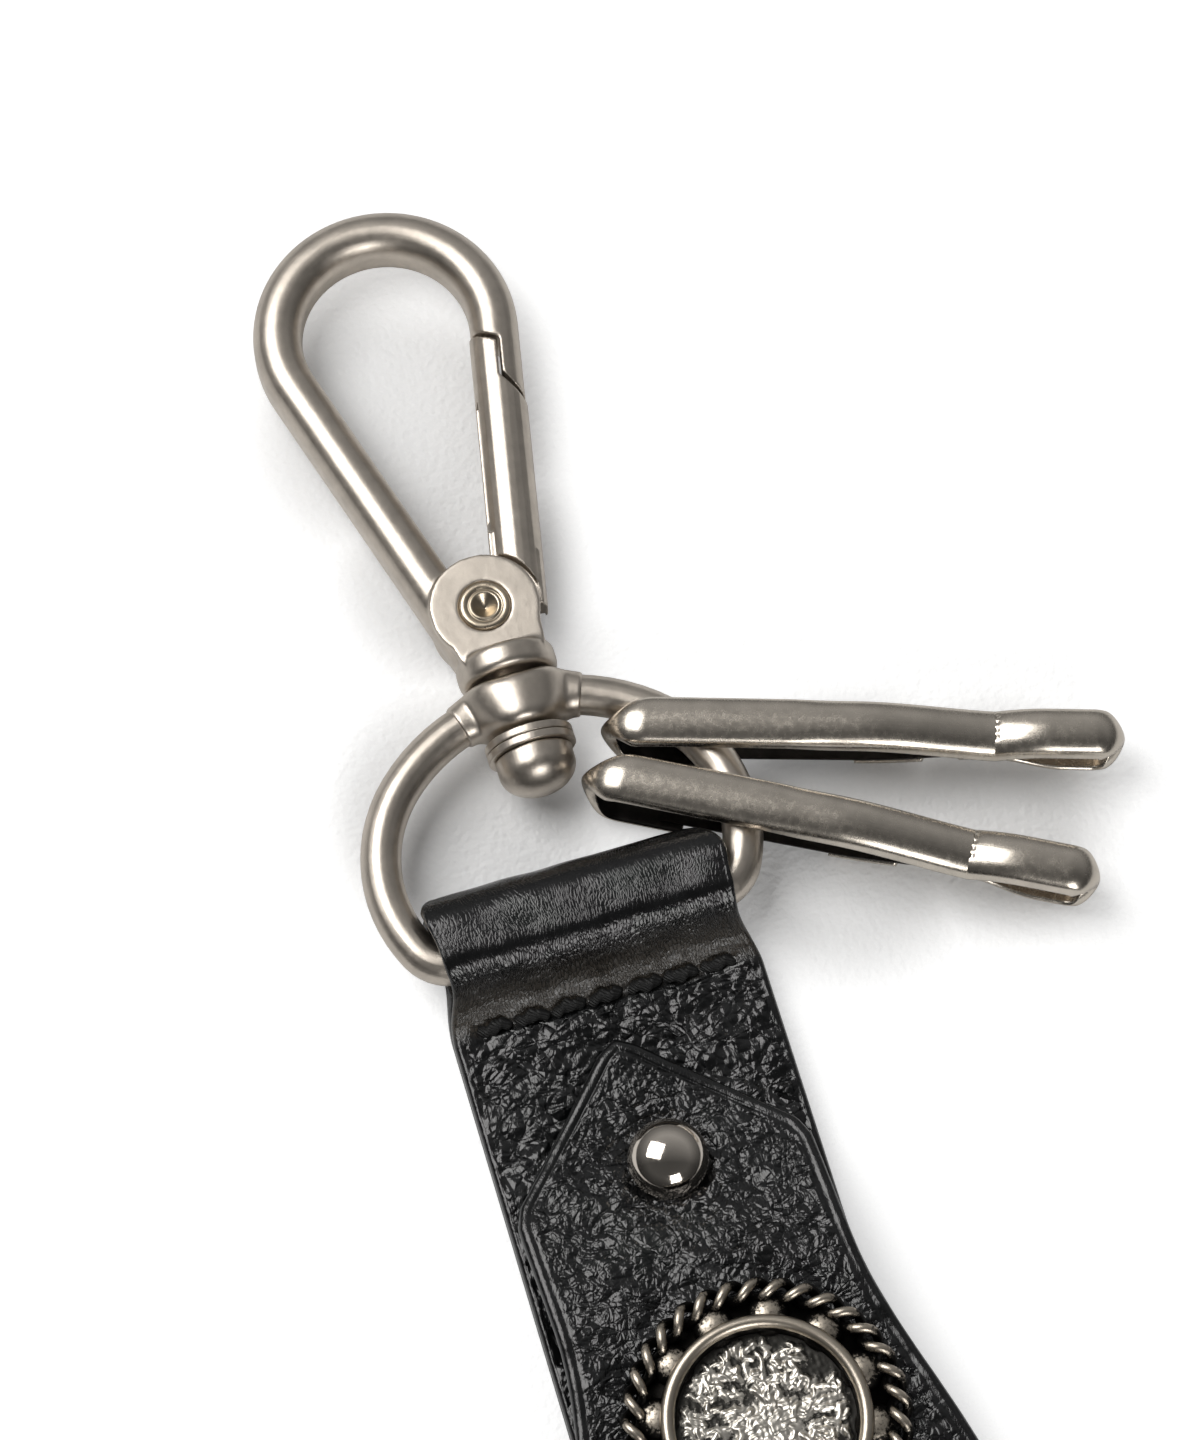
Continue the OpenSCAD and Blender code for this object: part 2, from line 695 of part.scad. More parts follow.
function ring_half_path() = concat(
  [[ring_corner_x() - wire_d / 8, -bar_y]],
  arc([ring_corner_x(), -bar_y + ring_corner_r], ring_corner_r, -90, -corner_a, 7),
  [for (p = arc([side_x, ring_mid_y], ring_side_r, -corner_a, 90 - top_a, 14))
    if (p[1] > ring_side_low_y + cut) p],
  [for (p = arc([0, top_c_y], ring_top_r, 90 - top_a, 90 - socket_a, 7))
    if (p[0] < ring_top_x - cut) p]
);

module ring_wire() {
  w = wire_d / 2;
  color(nickel_c) {
    for (side = [0, 1]) mirror([side, 0, 0])
      sweep(ring_half_path(), round_section(w * wire_facet_share, 20), axis_h);
    translate([-ring_corner_x(), -bar_y, axis_h]) rotate([0, 90, 0])
      cylinder(r = w, h = 2 * ring_corner_x());
  }
}

module swivel_boss() {
  r = boss_d / 2;
  color(nickel_c) difference() {
    union() {
      lying(boss_lo) rotate_extrude() barrel(r, boss_len, boss_round);
      bend([0, top_c_y], ring_top_r, 90 - wing_a, 90 + wing_a) circle(wire_d / 2 + wing_t);
    }
    lying(boss_lo - cut) cylinder(d = pin_d + 2 * run_gap, h = boss_len + 2 * cut);
    for (side = [0, 1]) mirror([side, 0, 0])
      bend([0, top_c_y], ring_top_r, 90 - wing_a - socket_open_a, 90 - socket_a + socket_lap_a)
        circle(wire_d / 2 + run_gap);
    // Faces either side of the boss stay clear of collar and washers.
    for (y = [boss_hi, boss_lo - boss_len])
      lying(y) cylinder(r = boss_w, h = boss_len);
  }
}

// Half outline of a barrel with rounded ends
module barrel(r, len, round) {
  intersection() {
    union() {
      square([r - round, len]);
      translate([0, round]) square([r, len - 2 * round]);
      for (y = [round, len - round]) translate([r - round, y]) circle(round);
    }
    square([r, len]);
  }
}

module swivel_pin() {
  dome_h = head_d * head_dome_share;
  color(nickel_c) {
    lying(head_y) cylinder(d = pin_d, h = collar_lo + pin_grip - head_y);
    lying(head_y - head_len) rotate_extrude() intersection() {
      union() {
        translate([0, dome_h]) square([head_d / 2, head_len - dome_h]);
        translate([0, dome_h]) scale([1, 2 * head_dome_share]) circle(head_d / 2);
      }
      square([head_d / 2, head_len]);
    }
  }
}

module washer(y) {
  color(bright_c) lying(y) difference() {
    cylinder(d = washer_d, h = washer_t);
    translate([0, 0, -cut]) cylinder(d = pin_d + 2 * run_gap, h = washer_t + 2 * cut);
  }
}

module swivel_washer_inner() washer(washer_in_y);
module swivel_washer_outer() washer(washer_out_y);

// Section of the hook's bar: a dome over upright sides with rounded feet
function hook_section(w, t) =
  let (foot = 0.8, r = w / 2)
  concat(arc([0, t / 2 - r], r, 0, 180, 12),
    arc([-r + foot, -t / 2 + foot], foot, 180, 270, 4),
    arc([r - foot, -t / 2 + foot], foot, 270, 360, 4));

function hook_path() = concat(
  [nose_start + nose_dir * (nose_len + hook_w), nose_start + nose_dir * nose_len / 2],
  arc(bow_c, bow_r, -gate_lean, 180 + leg_lean, 54),
  [leg_start + leg_dir * leg_len / 2, leg_start + leg_dir * leg_len]
);

// Prism over a plan outline, of a height set about the swivel axis
module slab(t) {
  translate([0, 0, axis_h - t / 2]) linear_extrude(t) children();
}

// Space of the gate's end: a step across the bar, so that the gate's tip passes
// inside the nose. The gap is the air left between the two.
module lap_plan(gap) {
  far = 2 * gate_len;
  translate(nose_start) rotate(-gate_lean) polygon([
    [-hook_w, -lap_from + (hook_w + lap_x) * lap_in_slope - gap],
    [lap_x - gap, -lap_from - gap],
    [lap_x - gap, -lap_from - lap_len - gap],
    [hook_w, -lap_from - lap_len - (hook_w - lap_x) * lap_out_slope - gap],
    [hook_w, -far], [-hook_w, -far]
  ]);
}

module hook_body() {
  color(nickel_c) difference() {
    union() {
      difference() {
        sweep(hook_path(), hook_section(hook_w, hook_t), axis_h);
        slab(2 * hook_t) lap_plan(0);
      }
      for (side = [-1, 1]) translate([0, 0, axis_h + side * (ear_z + ear_t / 2) - ear_t / 2])
        linear_extrude(ear_t) ear_plan();
      slab(foot_t) translate([-base_hw, collar_hi - collar_round])
        square([2 * base_hw, pivot_y - slot_r - collar_hi + collar_round]);
      lying(collar_lo) rotate_extrude() barrel(collar_d / 2, collar_len, collar_round);
    }
    slab(slot_t) slot_plan();
    translate([pivot[0], pivot[1], 0]) cylinder(d = rivet_d, h = 3 * axis_h);
    for (z = [axis_h - rivet_out - cut, axis_h + ear_z + ear_t / 2])
      translate([pivot[0], pivot[1], z]) cylinder(d = rivet_head_d, h = ear_t / 2 + cut + rivet_proud);
    lying(collar_lo - cut) cylinder(d = pin_d, h = pin_grip + cut);
  }
}

// Outline of an ear: a round, with straight sides that run into it from the foot
module ear_plan() {
  foot_y = collar_hi - collar_round;
  top_hw = ear_r - ear_inset;
  translate(pivot) circle(ear_r);
  polygon([[-base_hw, foot_y], [base_hw, foot_y], pivot + [top_hw, 0], pivot - [top_hw, 0]]);
}

module slot_plan() {
  // Space between the ears in which the gate's tongue turns
  translate(pivot) {
    circle(slot_r);
    translate([0, -slot_r]) square(3 * slot_r);
    rotate(leg_lean) translate([-leg_side, 0]) square(3 * slot_r);
  }
}

module gate_rivet() {
  recess_d = 2.6;
  recess_h = 0.8;
  color(bright_c) translate([pivot[0], pivot[1], axis_h]) difference() {
    union() {
      translate([0, 0, -rivet_out]) cylinder(d = rivet_d, h = 2 * rivet_out);
      for (side = [0, 1]) mirror([0, 0, side])
        translate([0, 0, ear_z + ear_t / 2]) cylinder(d = rivet_head_d, h = ear_t / 2 + rivet_proud);
    }
    translate([0, 0, rivet_out - recess_h])
      cylinder(d1 = recess_d / 3, d2 = recess_d, h = recess_h + run_gap);
  }
}

module gate() {
  color(nickel_c) difference() {
    union() {
      difference() {
        sweep([gate_foot, nose_start], hook_section(gate_w, gate_t), axis_h);
        translate([pivot[0], pivot[1], 0]) cylinder(r = ear_r + ear_gap, h = 3 * axis_h);
      }
      slab(tongue_t) tongue_plan();
    }
    slab(2 * hook_t) difference() {
      translate(nose_start) rotate(-gate_lean) translate([-hook_w, -4 * lap_len])
        square([2 * hook_w, 5 * lap_len]);
      lap_plan(lap_gap);
    }
    translate([pivot[0], pivot[1], 0]) cylinder(d = rivet_d + 2 * run_gap, h = 3 * axis_h);
    translate([pivot[0], pivot[1], axis_h + tongue_t / 2 - pocket_d])
      cylinder(r = pocket_r, h = pocket_d + cut);
    // Channel along the inner side of the pressed gate
    translate([gate_foot[0], gate_foot[1], axis_h]) rotate(-gate_lean)
      translate([-gate_w / 2 - cut, channel_from_share * slot_r, -channel_w / 2])
        cube([channel_d + cut, gate_len - channel_ends_share * slot_r, channel_w]);
  }
}

module tongue_plan() {
  // Disc round the rivet and the neck that joins it to the gate's bar
  neck_r = ear_r + ear_gap + hook_w / 2;
  translate(pivot) circle(tongue_r);
  intersection() {
    translate(gate_foot) rotate(-gate_lean) translate([-gate_w / 2, 0])
      square([gate_w - tongue_side, neck_r]);
    translate(pivot) circle(neck_r);
  }
}

// Tube swept along a list of points, closed at both ends
module tube(path, d, sides) {
  n = len(path);
  dirs = [for (i = [0:n - 1]) unit(path[min(i + 1, n - 1)] - path[max(i - 1, 0)])];
  pts = [for (i = [0:n - 1], j = [0:sides - 1])
    let (a = j * 360 / sides, e = unit(cross(dirs[i], [0, 0, 1])), f = cross(dirs[i], e))
    path[i] + d / 2 * (e * cos(a) + f * sin(a))];
  polyhedron(pts, [for (f = tube_faces(n, sides)) [for (i = [len(f) - 1:-1:0]) f[i]]]);
}

function unit(v) = v / norm(v);

module gate_spring() {
  // Torsion spring coiled round the rivet, in the tongue's pocket
  z0 = axis_h + tongue_t / 2 - pocket_d + spring_wire / 2 + run_gap;
  turn = spring_turns * 360;
  steps = spring_turns * spring_n;
  path = [for (i = [0:steps]) let (a = spring_start_a + turn * i / steps)
    [pivot[0] + spring_r * cos(a), pivot[1] + spring_r * sin(a),
     z0 + spring_pitch * spring_turns * i / steps]];
  color(dark_c) tube(path, spring_wire, spring_sides);
}

// Ring end of a clip that crosses the ring's side at an angle a
function clip_at(a, hang, turn) =
  [side_x, ring_mid_y] + ring_side_r * [cos(a), sin(a)] - hang * [cos(turn), sin(turn)];

// Side view of a key clip: the strip's inner face, from the lip round the ring end,
// along the top, round the eye and back to the tail.
function clip_top(u) =
  u < tail_u
    ? clip_gap / 2
    : u < neck_u
      ? mix(clip_gap / 2, neck_gap / 2, smooth((u - tail_u) / (neck_u - tail_u)))
      : mix(neck_gap / 2, eye_gap / 2, smooth((u - neck_u) / (eye_len * eye_rise_share)));
function clip_low(u) =
  u > neck_u
    ? -mix(neck_gap / 2, eye_gap / 2, smooth((u - neck_u) / (eye_len * eye_rise_share)))
    : -mix(low_gap, neck_gap / 2, smooth((u - tail_u) / (neck_u - tail_u)));

function clip_path() =
  let (ra = clip_gap / 2, rb = eye_gap / 2, ua = ra + clip_t, ub = clip_len - rb - clip_t,
       n = clip_seg)
  concat(
    [[lip_len, -ra], [mix(ua, lip_len, lip_share), -ra]],
    [for (i = [0:n]) let (a = -90 - 180 * i / n) [ua + ra * cos(a), ra * sin(a)]],
    [for (t = crown_shares) [mix(ua, tail_u, t), ra]],
    [for (i = [0:n - 1]) let (u = mix(tail_u, ub, i / n)) [u, clip_top(u)]],
    [for (i = [0:n]) let (a = 90 - 180 * i / n) [ub + rb * cos(a), rb * sin(a)]],
    [for (i = [1:n]) let (u = mix(ub, tail_u, i / n)) [u, clip_low(u)]]
  );

// Half width of the strip to one side: seen from above, both ends of a clip are rounded,
// the ring end more on the side of the swivel (1) than on the side of the strap (-1)
function clip_half(u, side) =
  let (tip = side > 0 ? [tip_len, tip_in] : [tip_low_len, tip_low_in])
  clip_w / 2 - tip[1] * pow(max(1 - u / tip[0], 0), 2)
    - eye_round * (1 - sqrt(1 - pow(max(1 - (clip_len - u) / eye_round, 0), 2)));

// Section of the strip: flat inside, domed outside; first along the width, then out
function clip_section() =
  let (h = clip_w / 2, n = 10)
  concat([[-h, 0], [-h, clip_side_t]],
    [for (i = [n - 1:-1:1]) let (a = 180 * i / n)
      [h * cos(a), clip_side_t + (clip_t - clip_side_t) * sin(a)]],
    [[h, clip_side_t], [h, 0]]);

module clip_strip() {
  path = clip_path();
  section = clip_section();
  n = len(path);
  m = len(section);
  dirs = [for (i = [0:n - 1]) unit(path[min(i + 1, n - 1)] - path[max(i - 1, 0)])];
  pts = [for (i = [0:n - 1], j = [0:m - 1])
    let (out = [-dirs[i][1], dirs[i][0]], outer = path[i][0] + out[0] * clip_t,
         wide = clip_half(min(max(outer, 0), clip_len), sign(section[j][0])) / (clip_w / 2))
    [path[i][0] + out[0] * section[j][1], wide * section[j][0], path[i][1] + out[1] * section[j][1]]];
  polyhedron(pts, tube_faces(n, m));
}

module place_clip(at, turn) {
  translate([at[0], at[1], axis_h]) rotate([0, 0, turn]) children();
}

module key_clip(at, turn) {
  color(bright_c) place_clip(at, turn) difference() {
    clip_strip();
    for (side = [0, 1]) mirror([0, side, 0])
      translate([notch_from, clip_w / 2 - notch_d, -clip_gap])
        cube([notch_to - notch_from, notch_d + cut, clip_gap - notch_top]);
  }
}

module clip_leaf(at, turn) {
  end_u = lip_len - leaf_lap;
  n = 14;
  start_u = neck_u - leaf_back;
  pts_low = [for (i = [0:n]) let (u = mix(end_u, start_u, i / n)) [u, leaf_z(u)]];
  pts_top = [for (i = [n:-1:0]) let (u = mix(end_u, start_u, i / n)) [u, leaf_z(u) + leaf_t]];
  color(dark_c) place_clip(at, turn) rotate([90, 0, 0]) translate([0, 0, -leaf_w / 2])
    linear_extrude(leaf_w) polygon(concat(pts_low, pts_top));
}

// Height of the spring leaf's lower face: on the lip at the ring end, on the tail behind
function leaf_z(u) =
  u < tail_u
    ? mix(-clip_gap / 2, -low_gap, smooth((u - lip_len) / (tail_u - lip_len))) + run_gap
    : clip_low(u) + run_gap;

module key_clip_upper() key_clip(upper_at, upper_turn);
module clip_leaf_upper() clip_leaf(upper_at, upper_turn);
module key_clip_lower() key_clip(lower_at, lower_turn);
module clip_leaf_lower() clip_leaf(lower_at, lower_turn);

placed() strap_leather();
placed() stitching();
placed() snap_stud();
placed() snap_rivet();
placed() flap_leather();
placed() dome_stud();
placed() dome_stud_washer();
placed() concho_mount();
placed() concho_rope();
placed() concho_disc();
placed() concho_post();
placed() snap_socket();
placed() ring_wire();
placed() swivel_boss();
placed() hook_body();
placed() swivel_pin();
placed() swivel_washer_inner();
placed() swivel_washer_outer();
placed() gate_rivet();
placed() gate();
placed() gate_spring();
placed() key_clip_upper();
placed() clip_leaf_upper();
placed() key_clip_lower();
placed() clip_leaf_lower();
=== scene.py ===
import json
import math

import bpy
import numpy as np
from mathutils import Matrix, Vector


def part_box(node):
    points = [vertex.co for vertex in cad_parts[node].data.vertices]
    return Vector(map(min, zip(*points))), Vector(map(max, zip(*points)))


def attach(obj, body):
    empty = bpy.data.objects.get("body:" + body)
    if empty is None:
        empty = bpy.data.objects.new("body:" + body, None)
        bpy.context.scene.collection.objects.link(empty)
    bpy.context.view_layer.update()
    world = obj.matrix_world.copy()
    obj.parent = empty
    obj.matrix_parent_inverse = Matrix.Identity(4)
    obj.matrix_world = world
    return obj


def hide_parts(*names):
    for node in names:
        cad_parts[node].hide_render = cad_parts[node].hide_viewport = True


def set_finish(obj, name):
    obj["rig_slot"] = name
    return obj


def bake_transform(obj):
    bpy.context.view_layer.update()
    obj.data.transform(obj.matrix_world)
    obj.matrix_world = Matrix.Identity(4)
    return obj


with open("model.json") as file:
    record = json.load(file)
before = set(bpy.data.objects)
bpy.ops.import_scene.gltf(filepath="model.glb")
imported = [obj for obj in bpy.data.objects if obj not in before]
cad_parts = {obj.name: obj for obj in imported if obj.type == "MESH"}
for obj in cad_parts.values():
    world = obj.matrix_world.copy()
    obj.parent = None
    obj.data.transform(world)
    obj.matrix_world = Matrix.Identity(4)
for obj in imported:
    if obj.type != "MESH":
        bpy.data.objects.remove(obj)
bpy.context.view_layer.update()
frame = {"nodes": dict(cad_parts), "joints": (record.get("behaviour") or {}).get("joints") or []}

# Lengths below are in millimetres, in the row frame; MM turns them into metres.
MM = 0.001
rng = np.random.default_rng(7)


def node_box(node):
    """Lowest and highest corner of a CAD node in millimetres."""
    lo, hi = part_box(node)
    return np.array(lo) / MM, np.array(hi) / MM


def joint_place(name):
    """Where a joint of the record sits, in millimetres."""
    found = [j for j in frame["joints"] if j["name"] == name][0]
    return np.array(found["pos_m"]) / MM, np.array(found["axis"], float)


# Driving sizes, read from the frame
_, strap_hi = node_box("strap_leather")
_, flap_hi = node_box("flap_leather")
seam_lo, seam_hi = node_box("stitching")
mount_lo, mount_hi = node_box("concho_mount")
rope_lo, rope_hi = node_box("concho_rope")
stud_lo, stud_hi = node_box("dome_stud")
bar_at, _ = joint_place("ring_swing")
fold_at, _ = joint_place("flap_open")

STRAP_HALF = strap_hi[0]
FRONT_Y = strap_hi[1]            # front of the ring fold
SEAM_Y = (seam_lo[1] + seam_hi[1]) / 2
BAR_Y, BAR_Z = bar_at[1], bar_at[2]
FOLD_TOP = strap_hi[2]
FOLD_R = FOLD_TOP - BAR_Z
LEATHER = 1.8                    # thickness of the hide
EDGE_R = 0.6                     # rounding of its edges
FRONT_LEN, BACK_JOIN = 60, 10    # front layer from the ring fold; join above the bottom fold
FOLD_Y, FOLD_Z = fold_at[1], fold_at[2]
BEND_MID_R = FOLD_Z - LEATHER / 2
BEND_Y = FOLD_Y + BEND_MID_R
FRONT_END_Y = FRONT_Y - FRONT_LEN
BACK_JOIN_Y = FOLD_Y + BACK_JOIN
FLAP_TIP_Y = flap_hi[1]
CONCHO = np.array([*(mount_lo[:2] + mount_hi[:2]) / 2, mount_lo[2]])
STUD = np.array([*(stud_lo[:2] + stud_hi[:2]) / 2, stud_hi[2]])


# Node trees

def material(name):
    mat = bpy.data.materials.new(name)
    mat.use_nodes = True
    tree = mat.node_tree
    tree.nodes.clear()
    out = tree.nodes.new("ShaderNodeOutputMaterial")
    bsdf = tree.nodes.new("ShaderNodeBsdfPrincipled")
    tree.links.new(bsdf.outputs[0], out.inputs[0])
    return mat, tree, bsdf


def feed(tree, made, inputs):
    """Sets a node's inputs, each to a plain value or to another node's output."""
    for key, value in inputs.items():
        if hasattr(value, "is_output"):
            tree.links.new(value, made.inputs[key])
        else:
            made.inputs[key].default_value = value


def node(tree, kind, inputs=None, **settings):
    made = tree.nodes.new("ShaderNode" + kind)
    for key, value in settings.items():
        setattr(made, key, value)
    feed(tree, made, inputs or {})
    return made


def millimetres(tree, source="Object"):
    """Texture coordinates counted in millimetres."""
    co = node(tree, "TexCoord").outputs[source]
    return node(tree, "Mapping", {"Vector": co, "Scale": (1 / MM, 1 / MM, 1 / MM)}).outputs[0]


def noise(tree, vector, scale, detail, rough, output=0):
    return node(tree, "TexNoise", {"Vector": vector, "Scale": scale, "Detail": detail,
                                   "Roughness": rough}).outputs[output]


def greys(tree, value, stops):
    """Grey against a value, from (value, grey) pairs."""
    made = node(tree, "ValToRGB", {"Fac": value})
    elements = made.color_ramp.elements
    while len(elements) < len(stops):
        elements.new(0.5)
    for element, (place, grey) in zip(elements, stops):
        element.position = place
        element.color = (grey, grey, grey, 1)
    return made.outputs[0]


def remap(tree, value, low, high, to_low, to_high):
    return node(tree, "MapRange", {"Value": value, "From Min": low, "From Max": high,
                                   "To Min": to_low, "To Max": to_high}).outputs[0]


def maths(tree, operation, a, b=0.0):
    return node(tree, "Math", {0: a, 1: b}, operation=operation).outputs[0]


def mix_colours(tree, share, a, b):
    a, b = ((*c, 1) if isinstance(c, tuple) else c for c in (a, b))
    return node(tree, "Mix", {0: share, 6: a, 7: b}, data_type="RGBA").outputs[2]


def bump(tree, height, strength, distance_mm, normal=None):
    inputs = {"Height": height, "Strength": strength, "Distance": distance_mm * MM}
    if normal is not None:
        inputs["Normal"] = normal
    return node(tree, "Bump", inputs).outputs[0]


# Most of a noise texture's values lie between these two
NOISE_LOW, NOISE_HIGH = 0.3, 0.7
MIDDLE = (0.5, 0.5, 0.5)


def graded(tree, value, to_low, to_high):
    """A noise's value spread over a range."""
    return remap(tree, value, NOISE_LOW, NOISE_HIGH, to_low, to_high)


def vectors(tree, operation, a, b):
    """Vector maths; b is a number for SCALE and a vector for the others."""
    made = node(tree, "VectorMath", {0: a, "Scale" if operation == "SCALE" else 1: b},
                operation=operation)
    return made.outputs["Value" if operation in ("DISTANCE", "DOT_PRODUCT") else 0]


def cell_edges(tree, vector, scale, width):
    """1 inside the cells of a Voronoi pattern, down to 0 along their edges."""
    cells = node(tree, "TexVoronoi", {"Vector": vector, "Scale": scale}, feature="DISTANCE_TO_EDGE")
    return remap(tree, cells.outputs["Distance"], 0.0, width, 0, 1)


# The metals' patterns, in repeats per millimetre, and how deep they lie, in millimetres
CLOUD, SPREAD, LUMP, GRAIN = 0.45, 1.7, 1.1, 6.0
LUMP_DEPTH, SCRATCH_DEPTH, GRAIN_DEPTH = 0.07, 0.02, 0.012
SCRATCH_STRETCH = (0.35, 6.0, 1)
ROUGH_LESS, ROUGH_MORE = 0.04, 0.05


def satin_metal(name, colour, rough, grain=1.0, mottle=0.1, brushed=False):
    """Plated metal with a fine blasted grain. mottle is how far its colour wanders; brushed adds
    scratches along the UV map's x."""
    mat, tree, bsdf = material(name)
    mm = millimetres(tree)
    cloud = noise(tree, mm, CLOUD, 5, 0.6)
    fine = noise(tree, mm, GRAIN, 2, 0.5)
    dark = tuple(c * (1 - 2 * mottle) for c in colour)
    light = tuple(min(1, c * (1 + mottle)) for c in colour)
    spread = noise(tree, mm, SPREAD, 4, 0.65)
    lump_share, grain_share = (0.06, 0.05) if brushed else (0.16, 0.18)
    normal = bump(tree, noise(tree, mm, LUMP, 2, 0.5), lump_share, LUMP_DEPTH)
    if brushed:
        flat = node(tree, "Mapping", {"Vector": millimetres(tree, "UV"), "Scale": SCRATCH_STRETCH})
        scratches = noise(tree, flat.outputs[0], 1.0, 3, 0.6)
        normal = bump(tree, scratches, 0.35, SCRATCH_DEPTH, normal)
    feed(tree, bsdf, {
        "Base Color": mix_colours(tree, graded(tree, cloud, 0, 1), dark, light), "Metallic": 1,
        "Roughness": graded(tree, spread, rough - ROUGH_LESS, rough + ROUGH_MORE),
        "Normal": bump(tree, fine, grain_share * grain, GRAIN_DEPTH, normal)})
    return mat


def worn_silver(name, bright, dark):
    """Antiqued silver: bright where the attribute worn is high, dark patina below."""
    mat, tree, bsdf = material(name)
    mm = millimetres(tree)
    worn = node(tree, "Attribute", attribute_name="worn").outputs["Fac"]
    spots = noise(tree, mm, 3.2, 4, 0.65)
    share = maths(tree, "ADD", worn, remap(tree, spots, 0.25, 0.75, -0.28, 0.28))
    share = remap(tree, share, 0.38, 0.62, 0, 1)
    pits = noise(tree, mm, 5, 3, 0.6)
    feed(tree, bsdf, {"Base Color": mix_colours(tree, share, dark, bright), "Metallic": 1,
                      "Roughness": remap(tree, share, 0, 1, 0.5, 0.34),
                      "Normal": bump(tree, pits, 0.35, 0.03)})
    return mat


# The second colour is a painted sheen: the lighter brown of the dull band above the strap's seam
BLACK_HIDE, SHEEN_PAINTED_HIDE = (0.0034, 0.0036, 0.0039), (0.045, 0.037, 0.028)
LEATHER_SPECULAR = 0.6
BLUR = 0.4                       # half width of the change from crinkled to smooth, in mm


def leather(name, cell, stretch, depth, rim, smooth_from=None):
    """Black grained leather. cell is the size of a wrinkle in millimetres, stretch its lengthening
    across the strap, rim the width of the smooth band along the edges; smooth_from is the place
    along the strip, in millimetres, above which only a fine grain is left."""
    mat, tree, bsdf = material(name)
    mm = millimetres(tree, "UV")
    inset = node(tree, "Attribute", attribute_name="inset").outputs["Fac"]
    cloud = noise(tree, mm, 0.45 / cell, 1, 0.4, "Color")
    shifted = vectors(tree, "SCALE", vectors(tree, "SUBTRACT", cloud, MIDDLE), 1.1 * cell)
    warped = vectors(tree, "ADD", mm, shifted)
    long = node(tree, "Mapping", {"Vector": warped, "Rotation": (0, 0, 0.3),
                                  "Scale": (1 / stretch, 1, 1)}).outputs[0]
    cells = node(tree, "TexVoronoi", {"Vector": long, "Scale": 1 / cell}, feature="F1")
    # Every pad leans its own way, so that some of them catch the light
    turn = vectors(tree, "SUBTRACT", cells.outputs["Color"], MIDDLE)
    away = vectors(tree, "SUBTRACT", long, cells.outputs["Position"])
    away = vectors(tree, "SCALE", away, 1 / cell)
    crumple = maths(tree, "SUBTRACT", noise(tree, long, 0.8 / cell, 1, 0.4), 0.5)
    patterns = (
        (remap(tree, cells.outputs["Distance"], 0.0, 0.75, 1, 0), 0.30),    # crowned pads
        (cell_edges(tree, long, 1 / cell, 0.14), 0.22),                     # valleys between them
        (vectors(tree, "DOT_PRODUCT", turn, away), 2.6),                    # their lean
        (cell_edges(tree, warped, 2.3 / cell, 0.2), 0.2),                   # small pebbles
        (cell_edges(tree, warped, 0.33 / cell, 0.05), 0.25),                # long creases
        (maths(tree, "ABSOLUTE", crumple), -2.6),                           # soft folds
    )
    height = None
    for pattern, share in patterns:
        layer = maths(tree, "MULTIPLY", pattern, share)
        height = layer if height is None else maths(tree, "ADD", height, layer)
    grain_at = node(tree, "Mapping", {"Vector": warped, "Scale": (1.7, 0.6, 1)}).outputs[0]
    dust = maths(tree, "MULTIPLY", noise(tree, grain_at, 3.2, 3, 0.6), 0.9)
    fine = maths(tree, "ADD", cell_edges(tree, grain_at, 2.6, 0.22), dust)
    lay = noise(tree, mm, 0.22, 3, 0.6)
    patches = noise(tree, mm, 0.9, 4, 0.6)
    shade = vectors(tree, "SCALE", BLACK_HIDE, remap(tree, patches, 0.3, 0.75, 0.7, 1.5))
    shine = graded(tree, patches, 0.15, 0.24)
    plain = remap(tree, inset, rim, rim + 0.5, 0.08, 1)
    fine_share = remap(tree, inset, rim - 0.3, rim + 0.4, 0.15, 0.22)
    if smooth_from is not None:
        along = node(tree, "SeparateXYZ", {0: mm}).outputs[1]
        edge = maths(tree, "ADD", along, graded(tree, lay, -BLUR, BLUR))
        low, high = smooth_from - BLUR, smooth_from + BLUR
        plain = maths(tree, "MULTIPLY", plain, remap(tree, edge, low, high, 1, 0.04))
        fine_share = maths(tree, "MULTIPLY", fine_share, remap(tree, edge, low, high, 1, 2.6))
        # Painted sheen: a lighter brown colour and more roughness in a band just above the seam,
        # standing in for how the light falls on the leather's slope down from the fold
        painted_sheen = maths(tree, "MULTIPLY", remap(tree, edge, smooth_from, smooth_from + 1.2, 0, 1),
                        remap(tree, edge, smooth_from + 3.6, smooth_from + 6.2, 1, 0))
        painted_sheen = maths(tree, "MULTIPLY", painted_sheen, remap(tree, fine, 0.5, 1.3, 0.25, 1))
        shade = mix_colours(tree, painted_sheen, shade, SHEEN_PAINTED_HIDE)
        shine = maths(tree, "ADD", shine, maths(tree, "MULTIPLY", painted_sheen, 0.22))
    normal = bump(tree, lay, 0.5, 0.4)
    normal = bump(tree, maths(tree, "MULTIPLY", height, plain), 1.0, depth, normal)
    normal = bump(tree, maths(tree, "MULTIPLY", fine, fine_share), 0.8, 0.035, normal)
    feed(tree, bsdf, {"Normal": normal, "Base Color": shade, "Roughness": shine,
                      "Specular IOR Level": LEATHER_SPECULAR})
    return mat


nickel = satin_metal("satin nickel", (0.61, 0.55, 0.48), 0.36, 1.9, 0.08)
clip_metal = satin_metal("scratched clip metal", (0.68, 0.62, 0.54), 0.25, 1.5, 0.07, brushed=True)
polished = satin_metal("polished stud", (0.70, 0.64, 0.57), 0.09, 0.05, 0.01)
brassy = satin_metal("brassy rivet", (0.56, 0.48, 0.37), 0.3, 0.6, 0.08)
blackened = satin_metal("blackened spring steel", (0.035, 0.032, 0.03), 0.42, 0.8, 0.2)
silver = worn_silver("antiqued silver", (0.54, 0.48, 0.40), (0.012, 0.011, 0.010))
disc_silver = worn_silver("worn disc", (0.74, 0.70, 0.63), (0.05, 0.048, 0.044))
strap_black = leather("crinkled strap leather", 2.3, 1.6, 0.26, 0.5, smooth_from=SEAM_Y - 0.5)
